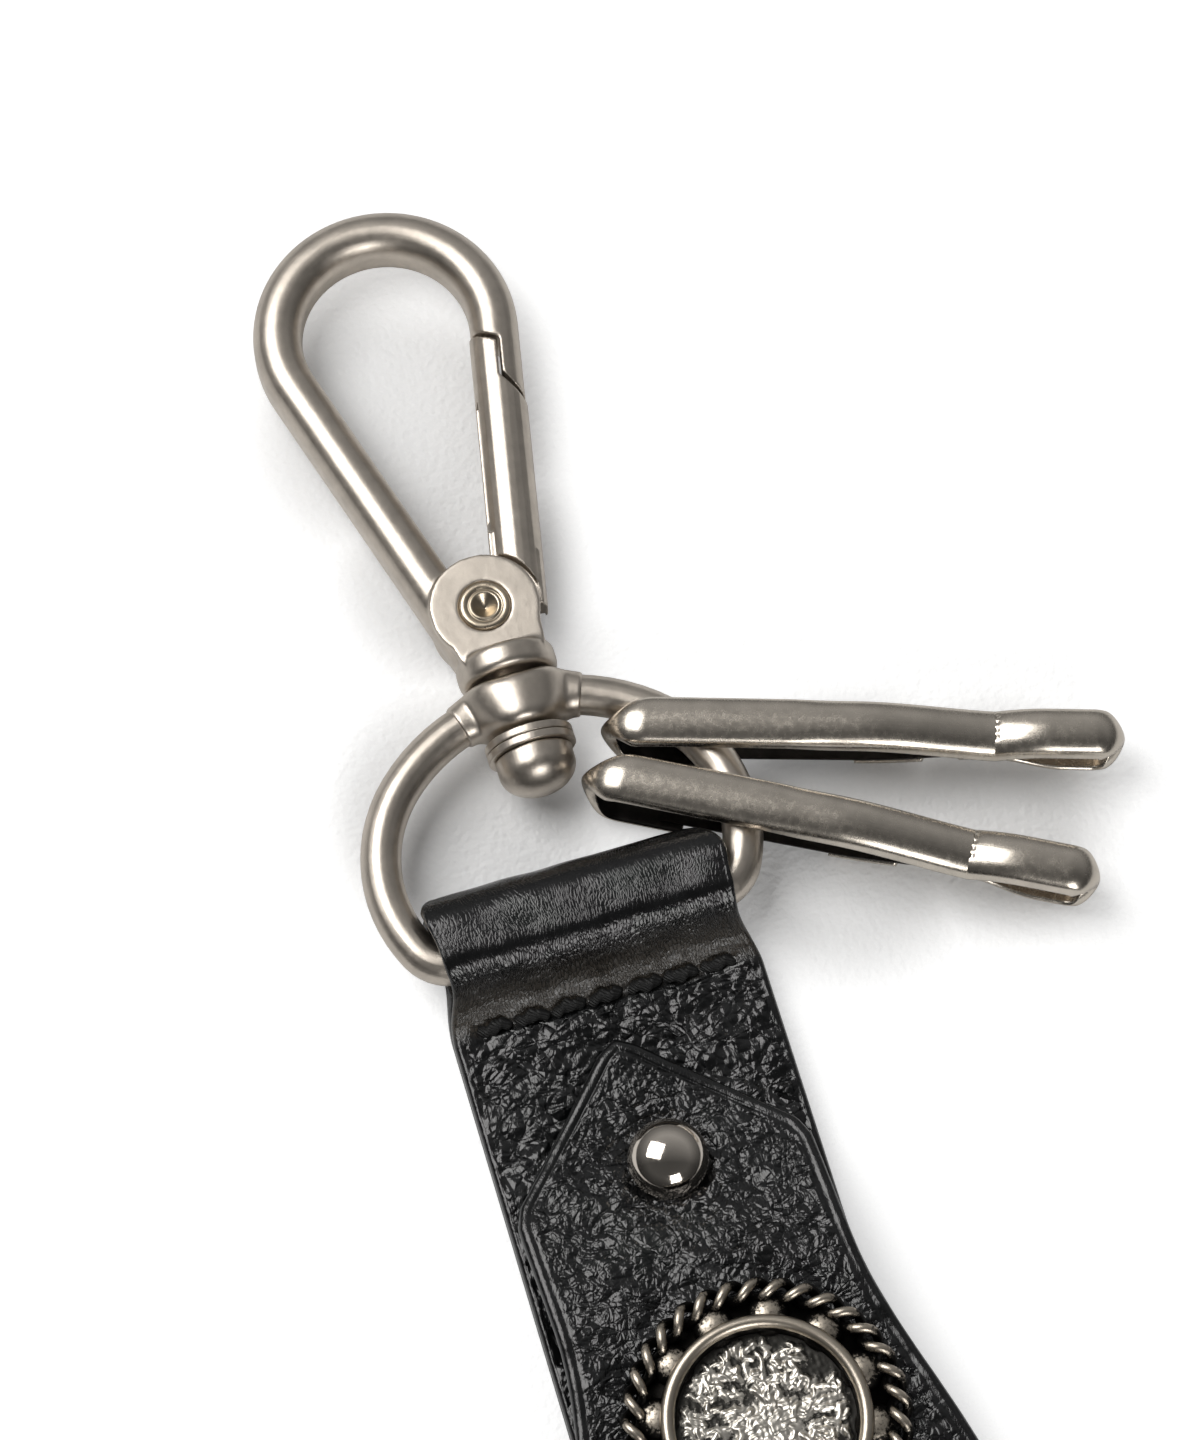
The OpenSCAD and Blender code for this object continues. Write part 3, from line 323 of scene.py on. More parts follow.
flap_black = leather("pebbled flap leather", 1.5, 1.25, 0.17, 1.1)


thread, tree, bsdf = material("black thread")
twist = node(tree, "TexWave", {"Vector": millimetres(tree), "Scale": 1.6, "Distortion": 1.2,
                               "Detail": 2.0}, bands_direction="DIAGONAL").outputs["Fac"]
feed(tree, bsdf, {"Base Color": greys(tree, twist, [(0, 0.002), (1, 0.008)]), "Roughness": 0.6,
                  "Normal": bump(tree, twist, 0.8, 0.08)})


# Meshes

def add_mesh(name, points_mm, faces, mat, slot, uv_mm=None):
    """A mesh object in the scene, shaded smooth, its faces turned outward."""
    mesh = bpy.data.meshes.new(name)
    mesh.from_pydata((np.asarray(points_mm, float) * MM).tolist(), [], [list(f) for f in faces])
    mesh.update()
    if enclosed(points_mm, faces) < 0:
        mesh.flip_normals()
    if uv_mm is not None:
        layer = mesh.uv_layers.new(name="UVMap")
        index = np.zeros(len(mesh.loops), np.int32)
        mesh.loops.foreach_get("vertex_index", index)
        flat = np.asarray(uv_mm, float)[index] * MM
        layer.data.foreach_set("uv", flat.astype(np.float32).ravel())
    mesh.polygons.foreach_set("use_smooth", [True] * len(mesh.polygons))
    mesh.materials.append(mat)
    made = bpy.data.objects.new(name, mesh)
    bpy.context.scene.collection.objects.link(made)
    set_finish(made, slot)
    return made


def point_values(obj, name, values):
    """A value at each point of a mesh, for its material to read."""
    layer = obj.data.attributes.new(name, "FLOAT", "POINT")
    layer.data.foreach_set("value", np.asarray(values, np.float32))


def enclosed(points, faces):
    """Six times the volume inside a closed mesh; negative where its faces look inward."""
    points = np.asarray(points, float) - np.mean(points, axis=0)
    fans = np.array([(f[0], f[i], f[i + 1]) for f in faces for i in range(1, len(f) - 1)])
    a, b, c = (points[fans[:, k]] for k in range(3))
    return float(np.sum(a * np.cross(b, c)))


def skin(rings, count, closed_rings=True, closed_path=False, caps=True):
    """Quads between neighbouring rings of count points each, and a face on each open end."""
    faces = []
    last = rings if closed_path else rings - 1
    across = count if closed_rings else count - 1
    for i in range(last):
        a, b = i * count, ((i + 1) % rings) * count
        for j in range(across):
            k = (j + 1) % count
            faces.append((a + j, b + j, b + k, a + k))
    if caps and not closed_path:
        faces.append(tuple(range(count)))
        faces.append(tuple(range(rings * count - 1, (rings - 1) * count - 1, -1)))
    return faces


def smooth_step(t):
    t = np.clip(t, 0, 1)
    return t * t * (3 - 2 * t)


def furrow(away, width):
    """A rounded groove, 1 in its middle."""
    return np.exp(-(away / width) ** 2)


def arc(centre, radius, start, end, count):
    a = np.radians(np.linspace(start, end, count))
    return np.stack([centre[0] + radius * np.cos(a), centre[1] + radius * np.sin(a)], 1)


def resample(points, step):
    """Points at even steps along a line, with the distances along it."""
    points = np.asarray(points, float)
    gaps = np.linalg.norm(np.diff(points, axis=0), axis=1)
    keep = np.r_[True, gaps > 1e-6]
    points, gaps = points[keep], gaps[gaps > 1e-6]
    along = np.r_[0, np.cumsum(gaps)]
    places = np.linspace(0, along[-1], max(2, int(along[-1] / step) + 1))
    return np.stack([np.interp(places, along, points[:, k]) for k in (0, 1)], 1), places


def edge_distance(x, s, outline):
    """Distance of points to a closed outline, all in the flat."""
    p = np.stack([x, s], -1)
    best = np.full(x.shape, 1e9)
    for a, b in zip(outline, np.roll(outline, -1, 0)):
        d = b - a
        t = np.clip(((p - a) @ d) / max(d @ d, 1e-12), 0, 1)
        best = np.minimum(best, np.linalg.norm(p - a - t[..., None] * d, axis=-1))
    return best


def loop_of(left, right, places):
    """A strip's two edges as one closed loop in (x, s)."""
    return np.vstack([[[right(s), s] for s in places], [[left(s), s] for s in places[::-1]]])


STRIP_STEP = 0.28                # between a strip's rows of points
INNER_COLUMNS = 100
# Columns of points along each edge, drawn closer where the strip is narrower than EDGE_FROM
EDGE_COLUMNS = np.array([0, 0.08, 0.18, 0.3, 0.45, 0.62, 0.8, 1.0, 1.2])
EDGE_FROM = 2.6
CREASE_WIDTH = 0.13


def strip(name, line, left, right, outline, mat, relief, crease, s_start=0.0, clear=None):
    """A strap of leather of one thickness. line is its middle in the (y, z) plane; left and right
    give its edges at each distance s along it; outline is the same edge as a closed loop in
    (x, s); relief(x, s) lifts the upper face; crease is the place and depth of the line pressed
    along the edge; clear moves points out of another piece's way. The UV map is (x, s)."""
    mid, s = resample(line, STRIP_STEP)
    s = s + s_start
    tangent = np.gradient(mid, axis=0)
    tangent /= np.linalg.norm(tangent, axis=1)[:, None]
    normal = np.stack([-tangent[:, 1], tangent[:, 0]], 1)
    inner = np.linspace(0, 1, INNER_COLUMNS)[1:-1]
    points, uvs, insets = [], [], []
    half_h = LEATHER / 2
    for i in range(len(s)):
        lo, hi = left(s[i]), right(s[i])
        width = hi - lo
        rim = EDGE_COLUMNS * min(1.0, width / EDGE_FROM)
        x = np.r_[lo + rim, lo + rim[-1] + inner * (width - 2 * rim[-1]), (hi - rim)[::-1]]
        along = np.full(x.shape, s[i])
        d = edge_distance(x, along, outline)
        rounded = EDGE_R - np.sqrt(np.maximum(EDGE_R ** 2 - (EDGE_R - d) ** 2, 0))
        drop = np.where(d < EDGE_R, rounded, 0)
        lift = relief(x, along) - crease[1] * furrow(d - crease[0], CREASE_WIDTH)
        top, low = half_h - drop + lift, -(half_h - drop)
        ring_x = np.r_[x, x[::-1]]
        ring_h = np.r_[top, low[::-1]]
        seats = (ring_x, mid[i, 0] + normal[i, 0] * ring_h, mid[i, 1] + normal[i, 1] * ring_h)
        points.append(np.stack(clear(*seats) if clear else seats, 1))
        uvs.append(np.stack([ring_x, np.full(ring_x.shape, s[i])], 1))
        insets.append(np.r_[d, d[::-1]])
    faces = skin(len(points), len(points[0]))
    made = add_mesh(name, np.vstack(points), faces, mat, "leather", np.vstack(uvs))
    point_values(made, "inset", np.concatenate(insets))
    return made


WAVES = 7


def ridge_noise(x, s, cell, seed):
    """Soft lumps made from a few sine waves, for the sag of the leather."""
    local = np.random.default_rng(seed)
    total = np.zeros(np.shape(x))
    for _ in range(WAVES):
        a = local.uniform(0, math.tau)
        k = local.uniform(0.6, 1.6) / cell
        p = local.uniform(0, math.tau)
        total = total + np.sin(math.tau * k * (x * math.cos(a) + s * math.sin(a)) + p)
    return total / WAVES


SEATS = 48                       # the pads' places repeat after this many
SWAY, SWAY_CELL = 0.5, 2.6       # how far their rows sway, and over what length, in pads


def wrinkles(x, s, cell, stretch, turn, seed, valley, tilt):
    """Pads of crinkled leather between narrow valleys, from 0 down to about -1. Every pad is a
    facet with its own tilt."""
    table = np.random.default_rng(seed).random((SEATS, SEATS, 4))
    x, s = (x + SWAY * cell * ridge_noise(x, s, SWAY_CELL * cell, seed),
            s + SWAY * cell * ridge_noise(s, x, SWAY_CELL * cell, seed + 1))
    u = (x * math.cos(turn) + s * math.sin(turn)) / (cell * stretch)
    v = (s * math.cos(turn) - x * math.sin(turn)) / cell
    i, j = np.floor(u).astype(int), np.floor(v).astype(int)
    first, second, lean = np.full(u.shape, 9.0), np.full(u.shape, 9.0), np.zeros(u.shape)
    for di in (-1, 0, 1):
        for dj in (-1, 0, 1):
            seat = table[(i + di) % SEATS, (j + dj) % SEATS]
            du, dv = u - (i + di + seat[..., 0]), v - (j + dj + seat[..., 1])
            away = np.hypot(du, dv)
            nearer = away < first
            second = np.where(nearer, first, np.minimum(second, away))
            lean = np.where(nearer, (seat[..., 2] - 0.5) * du + (seat[..., 3] - 0.5) * dv, lean)
            first = np.where(nearer, away, first)
    pad = smooth_step((second - first) / valley)
    return pad * (0.75 + tilt * lean) - 1


def crinkled(x, s, layers):
    """Layers of wrinkles over each other: (depth, cell, stretch, turn, seed, valley, tilt) each."""
    return sum(depth * wrinkles(x, s, *kind) for depth, *kind in layers)


# Strap: front layer, ring fold and back layer. The distance s runs from the front layer's
# end towards the ring, so that on the front s can be read as y.
FIND_STEP = 0.35                 # for measuring lengths
ramp_from, ramp_to = SEAM_Y + 0.7, BAR_Y
ramp_y = np.linspace(ramp_from, ramp_to, 24)
climb = smooth_step((ramp_y - ramp_from) / (ramp_to - ramp_from))
front_c = FRONT_Y - FOLD_R
fold_mid_r = FOLD_R - LEATHER / 2
ramp_z = LEATHER * 1.5 + (BAR_Z + fold_mid_r - LEATHER * 1.5) * climb
low_ramp_z = LEATHER / 2 + (BAR_Z - fold_mid_r - LEATHER / 2) * climb[::-1]
strap_line = np.vstack([
    [[FRONT_END_Y, LEATHER * 1.5]],
    np.stack([ramp_y, ramp_z], 1),
    arc((front_c, BAR_Z), fold_mid_r, 90, -90, 28),
    np.stack([ramp_y[::-1], low_ramp_z], 1),
    [[BACK_JOIN_Y, LEATHER / 2]],
])
front_s = FRONT_END_Y
strap_total = resample(strap_line, FIND_STEP)[1][-1]
to_nose = np.vstack([strap_line[:len(ramp_y) + 1], arc((front_c, BAR_Z), fold_mid_r, 90, 0, 14)])
nose_s = resample(to_nose, FIND_STEP)[1][-1]


def strap_edge(side, corner):
    """Edge to one side against s, with the fold's corner rounded."""
    def edge(s):
        gap = corner - (FRONT_Y - front_depth(abs(s - front_s - nose_s)))
        if gap <= 0:
            return side * STRAP_HALF
        return side * (STRAP_HALF - corner + math.sqrt(max(corner ** 2 - gap ** 2, 0)))
    return edge


def front_depth(over):
    """y of the strip's outer face at a distance from the front of the fold."""
    angle = min(over / fold_mid_r, math.pi / 2)
    return front_c + FOLD_R * math.cos(angle) - max(0, over - fold_mid_r * math.pi / 2)


strap_left, strap_right = strap_edge(-1, 1.6), strap_edge(1, 4.0)
strap_outline = loop_of(strap_left, strap_right, np.linspace(front_s, front_s + strap_total, 260))

# Depth and half width of the seam's furrow; of the dip above it, and how far above
SEAM_DEPTH, SEAM_WIDTH = 0.45, 0.8
DIP_DEPTH, DIP_WIDTH, DIP_AT = 0.09, 1.6, 2.6
SAG, FOLD_LINES = 0.10, 0.035
STRAP_WRINKLES = ((0.19, 1.35, 1.7, 0.35, 5, 0.28, 3.0), (0.15, 3.1, 2.0, -0.5, 9, 0.10, 2.6))


def strap_relief(x, s):
    """Height of the strap's outer face above plain leather."""
    inset = STRAP_HALF - np.abs(x)
    seam = -SEAM_DEPTH * furrow(s - SEAM_Y, SEAM_WIDTH) * smooth_step((inset - 1.4) / 1.2)
    sag = SAG * ridge_noise(x, s, 5.0, 3) * smooth_step(inset / 3)
    dip = -DIP_DEPTH * furrow(s - SEAM_Y - DIP_AT, DIP_WIDTH)
    below = smooth_step((SEAM_Y - 0.7 - s) / 0.5) * smooth_step((inset - 0.3) / 0.7)
    fold = FOLD_LINES * ridge_noise(0.3 * x, s, 1.5, 8) * (1 - below)
    # The back layer lies flat on the paper
    front = smooth_step((front_s + nose_s + 8 - s) / 4)
    return (seam + sag + dip + fold + crinkled(x, s, STRAP_WRINKLES) * below) * front


# Where the ring's sides and corners pass the strap's edges as it swings, in distances from the bar
SKIVE_X, SKIVE_R, SKIVE_AT, SKIVE_FROM = 2.88, 10.75, 7.5, 2.4
MOUTH_X, MOUTH_R = 11.1, 2.9


def clear_ring(x, y, z):
    """Narrows the strap's edges and opens the mouths of its fold, so that the ring swings free."""
    r = np.hypot(y - BAR_Y, z - BAR_Z)
    rise = SKIVE_R ** 2 - (np.maximum(r, SKIVE_FROM) - SKIVE_AT) ** 2
    side = SKIVE_X + np.sqrt(np.maximum(rise, 0))
    x = x * np.where(r < SKIVE_AT, np.minimum(1, side / STRAP_HALF), 1)
    mouth = smooth_step((np.abs(x) - MOUTH_X + 0.3) / 0.3)
    grow = 1 + (np.maximum(MOUTH_R / r, 1) - 1) * mouth
    return x, BAR_Y + (y - BAR_Y) * grow, BAR_Z + (z - BAR_Z) * grow


strap = strip("shown_strap_leather", strap_line, strap_left, strap_right, strap_outline,
              strap_black, strap_relief, (0.75, 0.05), front_s, clear_ring)
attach(strap, "strap")
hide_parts("strap_leather")

# Flap: from the back layer round the bottom fold and up to its point. Its outline in
# (x, y) is the CAD node's own, read off as the widest points at each height of y.
flap_mesh = frame["nodes"]["flap_leather"].data
flap_co = np.array([v.co for v in flap_mesh.vertices]) / MM
flap_ends = flap_co[np.array([tuple(e.vertices) for e in flap_mesh.edges])]
LEVEL = 1e-6                     # edges that rise less than this are level


def crossings(y):
    """Where the edges of the CAD flap's mesh cross a height of y."""
    a, b = flap_ends[:, 0], flap_ends[:, 1]
    cross = ((a[:, 1] - y) * (b[:, 1] - y) <= 0) & (np.abs(b[:, 1] - a[:, 1]) > LEVEL)
    a, b = a[cross], b[cross]
    t = (y - a[:, 1]) / (b[:, 1] - a[:, 1])
    return a + t[:, None] * (b - a)


def flap_edges():
    """Left and right edge of the CAD flap against y."""
    ys = np.linspace(FOLD_Y + 2.6, FLAP_TIP_Y - 0.02, 90)
    x = [crossings(y)[:, 0] for y in ys]
    return ys, np.array([c.min() for c in x]), np.array([c.max() for c in x])


def flap_height():
    """Middle height of the CAD flap against y, away from its holes."""
    ys = np.linspace(FOLD_Y + BEND_MID_R + 0.5, FLAP_TIP_Y - 0.3, 70)
    return ys, np.array([crossings(y)[:, 2].max() for y in ys]) - LEATHER / 2


edge_y, edge_left, edge_right = flap_edges()
height_y, height_z = flap_height()
flap_line = np.vstack([
    [[BACK_JOIN_Y, LEATHER / 2]],
    arc((BEND_Y, FOLD_Z), BEND_MID_R, 270, 90, 40),
    np.stack([height_y, height_z], 1),
    [[FLAP_TIP_Y, height_z[-1]]],
])
flap_mid_line, flap_s = resample(flap_line, FIND_STEP)
flap_length = flap_s[-1]
turn_s = (BACK_JOIN_Y - BEND_Y) + math.pi * BEND_MID_R


def y_of(s):
    """y on the flap's front at a distance s along the strip; the fold counts as its foot."""
    return np.interp(s, flap_s, flap_mid_line[:, 0]) if s > turn_s else edge_y[0]


def flap_left(s):
    return np.interp(y_of(s), edge_y, edge_left)


def flap_right(s):
    return np.interp(y_of(s), edge_y, edge_right)


point_from = flap_length - 16    # from here the outline is drawn finer
s_grid = np.r_[np.linspace(0, point_from, 160), np.linspace(point_from + 0.2, flap_length, 120)]
flap_outline = loop_of(flap_left, flap_right, s_grid)
s_per_y = flap_length - FLAP_TIP_Y

# Furrows pressed round the concho and the stud: middle, radius and depth
PRESSED = ((CONCHO, 12.6, 0.12), (STUD, 3.4, 0.28))
PRESS_WIDTH, FLAP_SAG, PLAIN_RIM = 0.9, 0.09, 1.3
FLAP_WRINKLES = ((0.10, 0.95, 1.25, 0.5, 15, 0.35, 2.8), (0.12, 3.4, 2.2, 0.75, 19, 0.09, 1.8))


def flap_relief(x, s):
    """Height of the flap's outer face above plain leather."""
    y = s - s_per_y
    press = np.zeros(np.shape(x))
    for centre, radius, depth in PRESSED:
        r = np.hypot(x - centre[0], y - centre[1])
        press = press - depth * furrow(r - radius, PRESS_WIDTH)
    inside = smooth_step((edge_distance(x, s, flap_outline[::4]) - PLAIN_RIM) / 0.5)
    # The back layer lies flat on the paper
    front = smooth_step((s - BACK_JOIN_Y + BEND_Y) / 3)
    wavy = FLAP_SAG * ridge_noise(x, s, 4.2, 11) + crinkled(x, s, FLAP_WRINKLES) * inside
    return (press + wavy) * front


flap = strip("shown_flap_leather", flap_line, flap_left, flap_right, flap_outline, flap_black,
             flap_relief, (1.05, 0.11))
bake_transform(flap)
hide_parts("flap_leather")


def stitches():
    """Short twisted lengths of thread, sunk in the seam's groove."""
    pitch, count, half, radius = 3.3, 7, 1.6, 0.56
    top, bow = LEATHER * 2 - 0.10, 0.30
    around, along = 12, 14
    parts, faces = [], []
    for i in range(count):
        x0 = (i - (count - 1) / 2) * pitch + rng.uniform(-0.12, 0.12)
        tilt = rng.uniform(-0.12, 0.12) + 0.06
        for k in range(along):
            t = k / (along - 1) * 2 - 1
            swell = radius * math.sqrt(max(0.02, 1 - abs(t) ** 3))
            middle = SEAM_Y + tilt * t + 0.12 * math.sin(5 * t + i)
            for j in range(around):
                a = math.tau * j / around
                r = swell * (1 + 0.22 * math.cos(2 * a + t * 9)
                             + 0.08 * math.sin(5 * a + 17 * t + i))
                parts.append((x0 + t * half, middle + r * math.cos(a),
                              top - bow * t * t + r * 0.85 * math.sin(a)))
        base = i * along * around
        faces += [tuple(base + v for v in f) for f in skin(along, around)]
    return add_mesh("shown_seam_stitches", parts, faces, thread, "thread")


seam = stitches()
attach(seam, "strap")
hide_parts("stitching")


# Nickel pieces: the CAD node, remeshed finely so that its edges soften like a casting's
WELD = 0.0005


def soft_copy(name, body, slot, voxel, rounds):
    made = frame["nodes"][name].copy()
    made.data = made.data.copy()
    made.name = "shown_" + name
    made.hide_render = made.hide_viewport = False
    bpy.context.scene.collection.objects.link(made)
    made.parent = None
    made.matrix_world = Matrix.Identity(4)
    made.data.transform(Matrix.Scale(1 / MM, 4))
    weld = made.modifiers.new("weld", "WELD")
    weld.merge_threshold = WELD
    remesh = made.modifiers.new("remesh", "REMESH")
    remesh.mode, remesh.use_smooth_shade = "VOXEL", True
    remesh.voxel_size = voxel * 1
    soften = made.modifiers.new("soften", "SMOOTH")
    soften.factor, soften.iterations = 0.5, rounds
    graph = bpy.context.evaluated_depsgraph_get()
    mesh = bpy.data.meshes.new_from_object(made.evaluated_get(graph))
    made.modifiers.clear()
    made.data = mesh
    mesh.transform(Matrix.Scale(MM, 4))
    mesh.materials.clear()
    mesh.materials.append(nickel)
    mesh.polygons.foreach_set("material_index", [0] * len(mesh.polygons))
    mesh.polygons.foreach_set("use_smooth", [True] * len(mesh.polygons))
    for key in list(made.keys()):
        del made[key]
    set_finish(made, slot)
    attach(made, body)
    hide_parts(name)


soft_copy("hook_body", "hook", "nickel", 0.13, 14)
soft_copy("gate", "gate", "nickel", 0.10, 4)
soft_copy("ring_wire", "ring", "nickel", 0.13, 8)
soft_copy("swivel_pin", "hook", "nickel", 0.10, 4)
soft_copy("swivel_washer_inner", "hook", "clip_steel", 0.07, 5)
soft_copy("swivel_washer_outer", "hook", "clip_steel", 0.07, 5)

# Barrel of the swivel: radius of the ring's top arc, half its width and how far it sits inward
RING_TOP_R, BOSS_HALF, BOSS_SET = 16.84, 5.5, 0.9
WING_MORE = 0.16                 # the sockets' radius over the wire's
END_SHARE = 0.93                 # the ends beyond this share of the reach are drawn finer


def ring_barrel():
    """Barrel of the swivel, drawn out on both sides to the sockets of the ring's wire. Its
    sections lie across the ring's top arc."""
    lo, hi = node_box("swivel_boss")
    wire_lo, wire_hi = node_box("ring_wire")
    mid_y, half_len, radius = (lo[1] + hi[1]) / 2, (hi[1] - lo[1]) / 2, (hi[2] - lo[2]) / 2
    wing = (wire_hi[2] - wire_lo[2]) / 2 + WING_MORE
    arc_c = mid_y + BOSS_SET - RING_TOP_R
    reach = math.asin(BOSS_HALF / RING_TOP_R)
    body = reach * END_SHARE
    turns = np.r_[np.linspace(-reach, -body, 5)[:-1], np.linspace(-body, body, 71),
                  np.linspace(body, reach, 5)[1:]]
    around = 72
    b = np.linspace(0, math.tau, around, endpoint=False)
    cos, sin = np.cos(b), np.sin(b)
    points = []
    for a in turns:
        x = RING_TOP_R * math.sin(a)
        out = smooth_step((abs(x) - 1.5) / 3.8)
        round_z = math.sqrt(max(radius ** 2 - x * x, 0))
        half_z = (round_z ** 5 + wing ** 5) ** 0.2
        half_y = half_len + (wing - half_len) * smooth_step((abs(x) - 2.4) / 3.1)
        # From a squarish barrel to round sockets
        power = 2 / (5.0 - 2.8 * out)
        shrink = 1 - 0.06 * max(0.0, (abs(a) / reach - 0.95) / 0.05) ** 2
        middle = RING_TOP_R - BOSS_SET * (1 - smooth_step((abs(x) - 0.5) / 4.5))
        r = middle + shrink * half_y * np.sign(cos) * np.abs(cos) ** power
        z = BAR_Z + shrink * half_z * np.sign(sin) * np.abs(sin) ** power
        points.append(np.stack([r * math.sin(a), arc_c + r * math.cos(a), z], 1))
    made = add_mesh("shown_swivel_boss", np.vstack(points), skin(len(turns), around), nickel,
                    "nickel")
    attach(made, "ring")
    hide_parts("swivel_boss")


ring_barrel()

# Key clips: the strip's side view as in the frame, drawn finer, with pinch marks in the neck.
# Stations run along the clip from its ring end.
CLIP_LEN, CLIP_HALF, CLIP_T, CLIP_SIDE_T = 44.6, 2.2, 1.2, 0.42
CLIP_GAP, EYE_GAP, NECK_GAP, EYE_LEN = 4.9, 2.9, 0.9, 10.6
LIP_END, TAIL_END, LOW_GAP = 9.0, 21.7, 2.25
NECK_AT = CLIP_LEN - EYE_LEN - 0.3
CROWN = 0.2                      # how much thicker the strip is in its middle
CLIP_BOW, BOW_FROM = 0.3, 15.5   # how far the strip's edges are drawn down, and from which station
NOTCH = (27.4, 30.5, 0.55)       # stations and depth of the lower strip's notch
LOW_IN = 0.6                     # how much narrower the lower strip is on its open side
PINCHES = (1.35, 0.7, 0.05, -0.6)    # across the neck
PINCH_AT, PINCH_DEPTH, PINCH_R = NECK_AT + 0.45, 0.13, 0.2
INNER_SHADE_ROWS = 95                  # rows of the lip and bend whose inner face takes the blackened material, as painted shade inside the bend
# Length, depth and power of the ring end's taper on the clip's two sides; the upper clip
# lies closer to the ring's wire
TIPS = {"upper": {1: (4.6, 1.8, 2.0), -1: (2.6, 1.5, 2.0)},
        "lower": {1: (4.6, 1.8, 2.2), -1: (2.6, 1.4, 3.0)}}
EYE_ROUND = 1.3                  # rounding of the eye's corners


def neck(u, wide):
    """Half gap between the clip's two faces, which close to its neck and open to its eye."""
    t = np.clip((u - TAIL_END) / (NECK_AT - TAIL_END), 0, 1)
    body = wide + (NECK_GAP / 2 - wide) * smooth_step(0.86 * t) / smooth_step(0.86)
    e = np.clip((u - NECK_AT) / (EYE_LEN * 0.45), 0, 1)
    eye = NECK_GAP / 2 + (EYE_GAP / 2 - NECK_GAP / 2) * (1 - (1 - e) ** 2)
    return np.where(u < NECK_AT, body, eye)


def clip_line():
    """Inner face of the strip in (station, height)."""
    ra, rb = CLIP_GAP / 2, EYE_GAP / 2
    ua, ub = ra + CLIP_T, CLIP_LEN - rb - CLIP_T
    top_u = np.linspace(ua, ub, 200)
    low_u = np.linspace(ub, TAIL_END, 140)
    return np.vstack([
        [[LIP_END, -ra]], arc((ua, 0), ra, -90, -270, 60),
        np.stack([top_u, neck(top_u, ra)], 1), arc((ub, 0), rb, 90, -90, 50),
        np.stack([low_u, -neck(low_u, LOW_GAP)], 1)])


def clip_half(u, tip):
    """Half width to one side, from the outline of the clip seen from above."""
    tip_len, tip_in, power = tip
    end = np.clip(1 - (CLIP_LEN - u) / EYE_ROUND, 0, 1)
    return (CLIP_HALF - tip_in * np.clip(1 - u / tip_len, 0, 1) ** power
            - EYE_ROUND * (1 - np.sqrt(1 - end ** 2)))


def key_clip(side, hang):
    """A domed strip bent round the ring's wire, pinched at its neck and bent to an eye. hang is
    the station of its joint."""
    at, axis = joint_place(f"clip_{side}_tilt")
    # Directions of the clip's stations, width and height
    ways = np.array([[-axis[1], axis[0], 0], [-axis[0], -axis[1], 0], [0, 0, 1]])
    origin = at - hang * ways[0]
    path, places = resample(clip_line(), 0.14)
    lean = np.gradient(path, axis=0)
    lean /= np.linalg.norm(lean, axis=1)[:, None]
    out = np.stack([-lean[:, 1], lean[:, 0]], 1)
    # Section: the dome from edge to edge, then the flat inner face back
    a = np.linspace(math.pi, 0, 41)
    inner = np.linspace(1, -1, 13)[1:-1]
    v = np.r_[np.cos(a), inner]
    dome = (CLIP_SIDE_T * (1 - np.abs(np.cos(a)) ** 26)
            + (CLIP_T + CROWN - CLIP_SIDE_T) * np.sin(a))
    flat_h = np.r_[dome, np.zeros(len(inner))]
    bow_h = -np.r_[1 - np.sin(a), 1 - np.sqrt(1 - 0.96 * inner ** 2)]
    points, uvs = [], []
    low = False
    for (station, level), (out_u, out_z), place in zip(path, out, places):
        outer = min(max(station + out_u * CLIP_T, 0), CLIP_LEN)
        wide = np.where(v > 0, clip_half(outer, TIPS[side][1]), clip_half(outer, TIPS[side][-1]))
        low = low or (level < 0 and station > CLIP_LEN / 2)
        if low:
            wide = wide - np.where(v < 0, LOW_IN, 0) * smooth_step((NECK_AT + 6 - station) / 5)
        if low and NOTCH[0] < station < NOTCH[1]:
            wide = wide - NOTCH[2] * smooth_step(min(station - NOTCH[0], NOTCH[1] - station) / 0.25)
        # The edges are drawn down on the long body only, away from the ring's wire
        bowed = CLIP_BOW * smooth_step((station - BOW_FROM) / 4) * (level > 0)
        h = flat_h + bowed * bow_h
        lift = h.copy()
        if level > 0:
            for mark in PINCHES:
                away = np.hypot(station - PINCH_AT, v * wide - mark)
                lift -= PINCH_DEPTH * furrow(away, PINCH_R) * (h > 0)
        section = np.stack([station + out_u * lift, v * wide, level + out_z * lift], 1)
        points.append(origin + section @ ways)
        uvs.append(np.stack([np.full(v.shape, place), v * wide + 0.01 * h], 1))
    faces = skin(len(points), len(v))
    made = add_mesh(f"shown_key_clip_{side}", np.vstack(points), faces, clip_metal, "clip_steel",
                    np.vstack(uvs))
    # Painted shade: the inner faces of the lip and bend take the near-black material, standing in
    # for the shade inside the bend
    made.data.materials.append(blackened)
    dark = [i < len(faces) - 2 and i % len(v) >= len(a) and i // len(v) < INNER_SHADE_ROWS
            for i in range(len(faces))]
    made.data.polygons.foreach_set("material_index", np.array(dark, np.int32))
    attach(made, f"clip_{side}")
    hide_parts(f"key_clip_{side}")


key_clip("upper", 7.53)
key_clip("lower", 13.62)


# Turned pieces, the concho and the studs
def turned(faces):
    """The same quads, facing the other way."""
    return [(a, d, c, b) for a, b, c, d in faces]


def lathe(name, profile, centre, mat, slot, steps=96, worn=None):
    """A half outline of radii and heights turned round the upright through centre."""
    profile = np.asarray(profile, float)
    points = []
    for i in range(steps):
        a = math.tau * i / steps
        points.append(np.stack([centre[0] + profile[:, 0] * math.cos(a),
                                centre[1] + profile[:, 0] * math.sin(a),
                                centre[2] + profile[:, 1]], 1))
    faces = turned(skin(steps, len(profile), closed_rings=False, closed_path=True))
    made = add_mesh(name, np.vstack(points), faces, mat, slot)
    if worn is not None:
        point_values(made, "worn", np.tile(worn, steps))
    return made


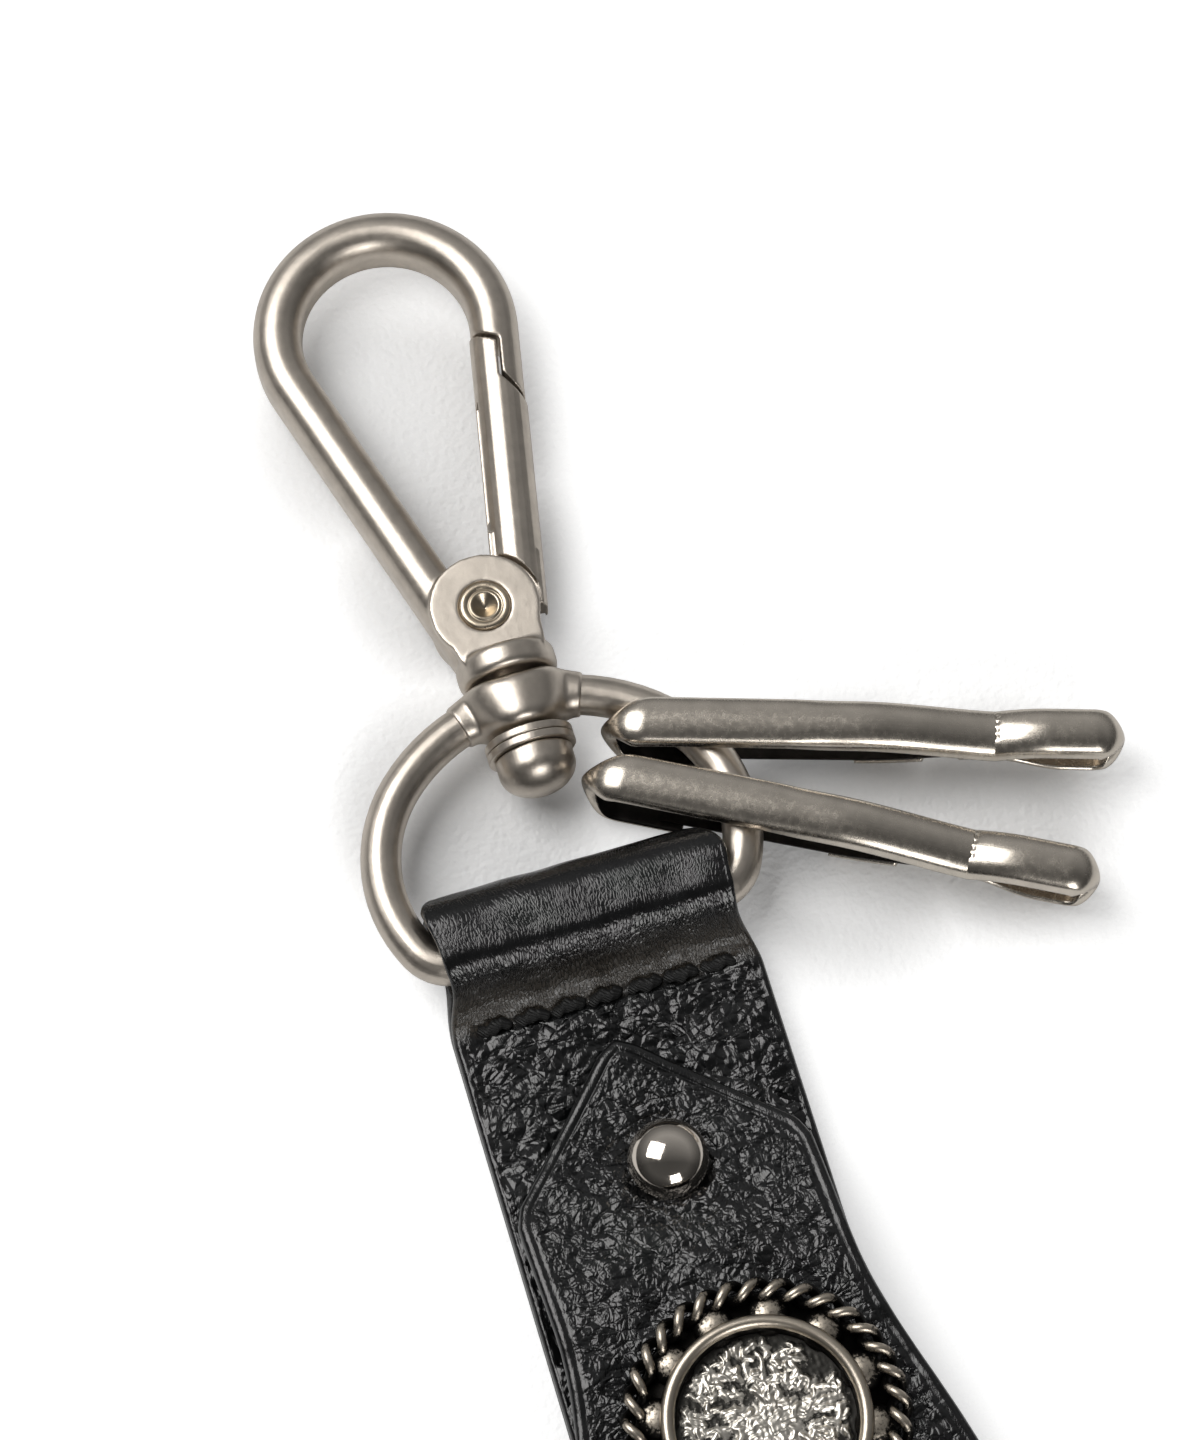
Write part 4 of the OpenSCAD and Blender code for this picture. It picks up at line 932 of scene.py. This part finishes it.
def dome_profile(radius, height, base=0.0, count=18):
    """Half outline of a dome, from its crown down to its foot."""
    a = np.linspace(0, math.pi / 2, count)
    return np.stack([radius * np.sin(a), base + height * np.cos(a)], 1)


rivet_lo, rivet_hi = node_box("gate_rivet")
rivet_r = (rivet_hi[0] - rivet_lo[0]) / 2
rivet_in = rivet_r - 0.03
rivet_top = rivet_hi[2] - BAR_Z
# Clenched face from its dimple outwards, in heights over the rivet's top
rivet_face = [[0.0, -0.85], [0.12, -0.82], [0.55, -0.45], [1.02, -0.12], [1.12, 0.0], [1.24, 0.04],
              [1.36, 0.0], [1.42, -0.08], [1.5, -0.09], [1.58, 0.0], [1.72, 0.06], [1.95, 0.06],
              [2.12, 0.0], [rivet_in, -0.12], [rivet_r - 0.02, -1.2]]
rivet_profile = np.vstack([
    np.add(rivet_face, [0, rivet_top]), [[1.2, rivet_top - 1.3], [1.2, 1.3 - rivet_top]],
    [[rivet_in, 1.2 - rivet_top], [rivet_in, 0.1 - rivet_top], [1.9, -rivet_top], [0, -rivet_top]],
])
rivet = lathe("shown_gate_rivet", rivet_profile, np.array([*(rivet_lo + rivet_hi)[:2] / 2, BAR_Z]),
              brassy, "clip_steel", 80)
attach(rivet, "hook")
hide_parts("gate_rivet")

# The concho is drawn a little smaller than its solid, as the photograph shows it
SHRINK = 0.94
BEZEL_R = 9.2 * SHRINK
BEZEL_IN = BEZEL_R - 1.25
BEZEL_TOP = mount_hi[2] - mount_lo[2]
ROUND = 0.58                     # rounding of the bezel's top
PLATE = 1.0                      # thickness of the mount's plate
WIRE_R, WIRE_OUT = 0.42, 0.66    # one wire of the rope, and how far it winds from the middle
ROPE_HALF = 1.1
ROPE_R = ((rope_hi[0] - rope_lo[0]) / 2 - ROPE_HALF) * SHRINK
BEADS, BEAD_R, BEAD_H = 12, 1.75, 1.0
BEAD_AT = (BEZEL_R + ROPE_R - ROPE_HALF) / 2 - 0.35

mount_profile = np.vstack([
    [[0, PLATE - 0.1], [BEZEL_IN - 0.02, PLATE - 0.1], [BEZEL_IN, PLATE]],
    [[BEZEL_IN, BEZEL_TOP - 1.1], [BEZEL_R - 2 * ROUND, BEZEL_TOP - 0.7]],
    arc((BEZEL_R - ROUND, BEZEL_TOP - ROUND), ROUND, 0, 180, 15)[::-1],
    [[BEZEL_R, BEZEL_TOP - 0.9], [BEZEL_R, PLATE + 0.12], [BEZEL_R + 0.12, PLATE]],
    [[ROPE_R, PLATE], [ROPE_R, 0.02], [0, 0.02]],
])
# Worn on the bezel's top, less on its sides and hardly between the beads
height = mount_profile[:, 1]
mount_worn = np.where(height > BEZEL_TOP - 0.55, 0.95, np.where(height > PLATE + 0.4, 0.2, 0.02))
mount = lathe("shown_concho_mount", mount_profile, CONCHO, silver, "antique_silver",
              worn=mount_worn)
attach(mount, "flap")
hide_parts("concho_mount")

bead_profile = dome_profile(BEAD_R, BEAD_H)
bead_worn = np.clip(-0.25 + bead_profile[:, 1] * 0.9, 0, 1)
for i in range(BEADS):
    a = math.tau * (i + 0.4) / BEADS
    centre = CONCHO + np.array([BEAD_AT * math.cos(a), BEAD_AT * math.sin(a), PLATE + 0.25])
    bead = lathe(f"concho_bead_{i + 1:02d}", bead_profile, centre, silver, "antique_silver", 28,
                 bead_worn)
    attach(bead, "flap")


def rope():
    """Two wires twisted together and bent to a ring. Sixteen and a half turns bring each wire
    round onto the other, so one line runs round twice."""
    turns, steps, sides = 16.5, 26, 12
    count = 2 * int(turns * steps)
    middle = PLATE + 0.75
    a = np.linspace(0, 2 * math.tau, count, endpoint=False)
    r = ROPE_R + WIRE_OUT * np.cos(turns * a)
    line = np.stack([CONCHO[0] + r * np.cos(a), CONCHO[1] + r * np.sin(a),
                     CONCHO[2] + middle + WIRE_OUT * np.sin(turns * a)], 1)
    lean = np.roll(line, -1, 0) - np.roll(line, 1, 0)
    lean /= np.linalg.norm(lean, axis=1)[:, None]
    outward = np.stack([np.cos(a), np.sin(a), np.zeros(count)], 1)
    side = outward - np.sum(outward * lean, 1)[:, None] * lean
    side /= np.linalg.norm(side, axis=1)[:, None]
    above = np.cross(lean, side)
    above *= np.sign(above[:, 2:3])
    b = np.linspace(0, math.tau, sides, endpoint=False)[None, :, None]
    rings = line[:, None, :] + WIRE_R * (np.cos(b) * side[:, None, :]
                                         + np.sin(b) * above[:, None, :])
    points = rings.reshape(-1, 3)
    made = add_mesh("shown_twisted_border", points, skin(count, sides, closed_path=True), silver,
                    "antique_silver")
    height = (points[:, 2] - CONCHO[2] - middle) / (WIRE_OUT + WIRE_R)
    point_values(made, "worn", np.clip(0.75 * height + 0.02, 0, 0.8))
    return made


border = rope()
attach(border, "flap")
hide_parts("concho_rope")


def hammered_disc():
    """Abstract relief: crossing ridges, larger towards the middle, worn bright on top."""
    radius = BEZEL_IN - 0.05
    radial, around, ridges = 110, 420, 210
    rr = np.linspace(0.001, 1, radial)[:, None] * radius
    aa = np.linspace(0, math.tau, around, endpoint=False)[None, :]
    x, y = rr * np.cos(aa), rr * np.sin(aa)
    local = np.random.default_rng(21)
    field = np.zeros(x.shape)
    for _ in range(ridges):
        reach = radius * 0.93 * math.sqrt(local.uniform(0, 1))
        place = local.uniform(0, math.tau)
        cx, cy = reach * math.cos(place), reach * math.sin(place)
        heading = place + local.normal(0, 0.75)
        length, width = local.uniform(0.4, 1.1), local.uniform(0.20, 0.40)
        u = (x - cx) * math.cos(heading) + (y - cy) * math.sin(heading)
        v = -(x - cx) * math.sin(heading) + (y - cy) * math.cos(heading)
        v = v + 0.2 * np.sin(u * local.uniform(1.5, 4.5) + local.uniform(0, 6))
        level = local.uniform(0.45, 1.0)
        field = np.maximum(field, level * np.exp(-(u / length) ** 4 - (v / width) ** 2))
    # The middle is worn nearly flat and bright
    middle = np.exp(-((x - 0.3) ** 2 + (y + 1.0) ** 2) / (0.34 * radius) ** 2)
    field = np.clip(field + 0.75 * middle, 0, 1.0)
    field = (field + 0.16 * ridge_noise(x, y, 0.7, 31)) * smooth_step((radius - rr) / 0.8)
    points = np.stack([CONCHO[0] + x, CONCHO[1] + y, CONCHO[2] + PLATE + (0.15 + 0.34 * field)], -1)
    faces = turned(skin(radial, around, caps=False)) + [tuple(range(around - 1, -1, -1))]
    made = add_mesh("shown_relief_disc", points.reshape(-1, 3), faces, disc_silver, "disc_silver")
    point_values(made, "worn", np.clip(0.2 + field * 1.1, 0, 1).ravel())
    return made


disc = hammered_disc()
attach(disc, "flap")
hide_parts("concho_disc")

stud_r = (stud_hi[0] - stud_lo[0]) / 2 * 1.07
stud_profile = np.vstack([dome_profile(stud_r, 2.75, 0.55, 30),
                          [[stud_r, 0.3], [stud_r * 0.86, 0.0], [0.0, 0.0]]])
stud = lathe("shown_dome_stud", stud_profile, STUD - np.array([0, 0, 3.0]), polished, "stud_steel")
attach(stud, "flap")
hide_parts("dome_stud")

# CAD nodes that stay as packed, each with its material
for name, mat in (("snap_stud", polished), ("snap_rivet", nickel), ("dome_stud_washer", nickel),
                  ("concho_post", nickel), ("snap_socket", nickel), ("gate_spring", blackened),
                  ("clip_leaf_upper", blackened), ("clip_leaf_lower", blackened)):
    data = frame["nodes"][name].data
    data.materials.clear()
    data.materials.append(mat)

# The picture: where it looks, from where, and its right and up on the paper
LOOK_AT = Vector((6.857, 25.089, 0.0)) * MM
CAMERA_AT = Vector((-34.15, -112.59, 394.67)) * MM
IMAGE_RIGHT = Vector((0.9584, -0.2854, 0.0))
IMAGE_UP = Vector((-IMAGE_RIGHT.y, IMAGE_RIGHT.x, 0.0))

# Paper. It's lifted to white for camera rays, and less so in five fixed round places, which paints
# shade onto it:
# the hollows of the hook and ring and below the clips. These are places to the right and up of
# where the camera looks, and radii
PAINTED_PAPER_SHADE = ((-18.3, 27.5, 11.0), (-13.0, 14.0, 9.0), (-11.3, -9.0, 10.0), (21.0, -11.0, 11.0),
               (34.0, -9.5, 9.0))
SHADED, OPEN = 0.08, 0.46        # how far the paper is lifted there and elsewhere
PAPER_HALF = 900.0
paper, tree, bsdf = material("white paper")
seen = node(tree, "LightPath").outputs["Is Camera Ray"]
flat_co = node(tree, "TexCoord").outputs["Object"]
away = None
for dx, dy, radius in PAINTED_PAPER_SHADE:
    painted_shade_spot = LOOK_AT + IMAGE_RIGHT * dx * MM + IMAGE_UP * dy * MM
    gap = vectors(tree, "DISTANCE", flat_co, (painted_shade_spot.x, painted_shade_spot.y, 0))
    gap = maths(tree, "DIVIDE", gap, radius * MM)
    away = gap if away is None else maths(tree, "MINIMUM", away, gap)
# Painted shade: inside these spots the lift drops towards SHADED, so the paper stays darker there
# whatever lies above it
lift = node(tree, "MapRange", {"Value": away, "From Min": 0.7, "From Max": 1.5,
                               "To Min": SHADED, "To Max": OPEN}, interpolation_type="SMOOTHSTEP")
tooth = noise(tree, millimetres(tree), 1.5, 1.5, 0.45)
feed(tree, bsdf, {"Base Color": (0.86, 0.865, 0.87, 1), "Roughness": 0.9,
                  "Normal": bump(tree, tooth, 0.7, 0.22), "Emission Color": (1, 1, 1, 1),
                  "Emission Strength": maths(tree, "MULTIPLY", seen, lift.outputs[0])})
floor = add_mesh("paper", [(x * PAPER_HALF, y * PAPER_HALF, 0)
                           for x, y in ((-1, -1), (1, -1), (1, 1), (-1, 1))],
                 [(0, 1, 2, 3)], paper, "leather")
del floor["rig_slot"]

# Camera: the photograph's own angle, from the strap's end
view = bpy.data.cameras.new("camera")
view.sensor_width, view.lens = 36.0, 120.75
view.clip_start, view.clip_end = 0.01, 10.0
camera = bpy.data.objects.new("camera", view)
back = (CAMERA_AT - LOOK_AT).normalized()
right = (IMAGE_RIGHT - IMAGE_RIGHT.dot(back) * back).normalized()
up = back.cross(right)
turn = Matrix((right, up, back)).transposed().to_4x4()
camera.matrix_world = Matrix.Translation(CAMERA_AT) @ turn
bpy.context.scene.collection.objects.link(camera)
bpy.context.scene.camera = camera


def softbox(name, towards, distance, width, height, energy, colour, turn=0.0):
    """Area light in a direction given in the picture: right, up, away from the paper."""
    data = bpy.data.lights.new(name, "AREA")
    data.shape, data.size, data.size_y = "RECTANGLE", width * MM, height * MM
    data.energy, data.color = energy, colour
    lamp = bpy.data.objects.new(name, data)
    heading = (IMAGE_RIGHT * towards[0] + IMAGE_UP * towards[1]
               + Vector((0, 0, towards[2]))).normalized()
    lamp.location = LOOK_AT + heading * distance * MM
    spin = Matrix.Rotation(turn, 4, heading)
    lamp.rotation_euler = (spin @ heading.to_track_quat("Z", "Y").to_matrix().to_4x4()).to_euler()
    bpy.context.scene.collection.objects.link(lamp)


WARM = (1.0, 0.99, 0.975)
softbox("key", (-0.58, 0.27, 1.0), 640, 430, 430, 2.85, WARM, 0.1)
softbox("low light", (0.6, -1.7, 1.0), 620, 250, 250, 1.1, WARM)

# Sky: greys from the horizon up, stronger towards the picture's top
SKY = ((0.0, 0.05), (0.3, 0.09), (0.6, 0.16), (1.0, 0.13))
world = bpy.data.worlds.new("studio")
bpy.context.scene.world = world
world.use_nodes = True
tree = world.node_tree
tree.nodes.clear()
sky_co = node(tree, "TexCoord").outputs["Generated"]
overhead = greys(tree, node(tree, "SeparateXYZ", {0: sky_co}).outputs[2], SKY)
behind = remap(tree, vectors(tree, "DOT_PRODUCT", sky_co, IMAGE_UP), -0.2, 0.9, 0.55, 2.6)
sky = vectors(tree, "SCALE", overhead, behind)
background = node(tree, "Background", {"Color": sky, "Strength": 1.0})
tree.links.new(background.outputs[0], node(tree, "OutputWorld").inputs[0])

bpy.context.scene.view_settings.view_transform = "Standard"
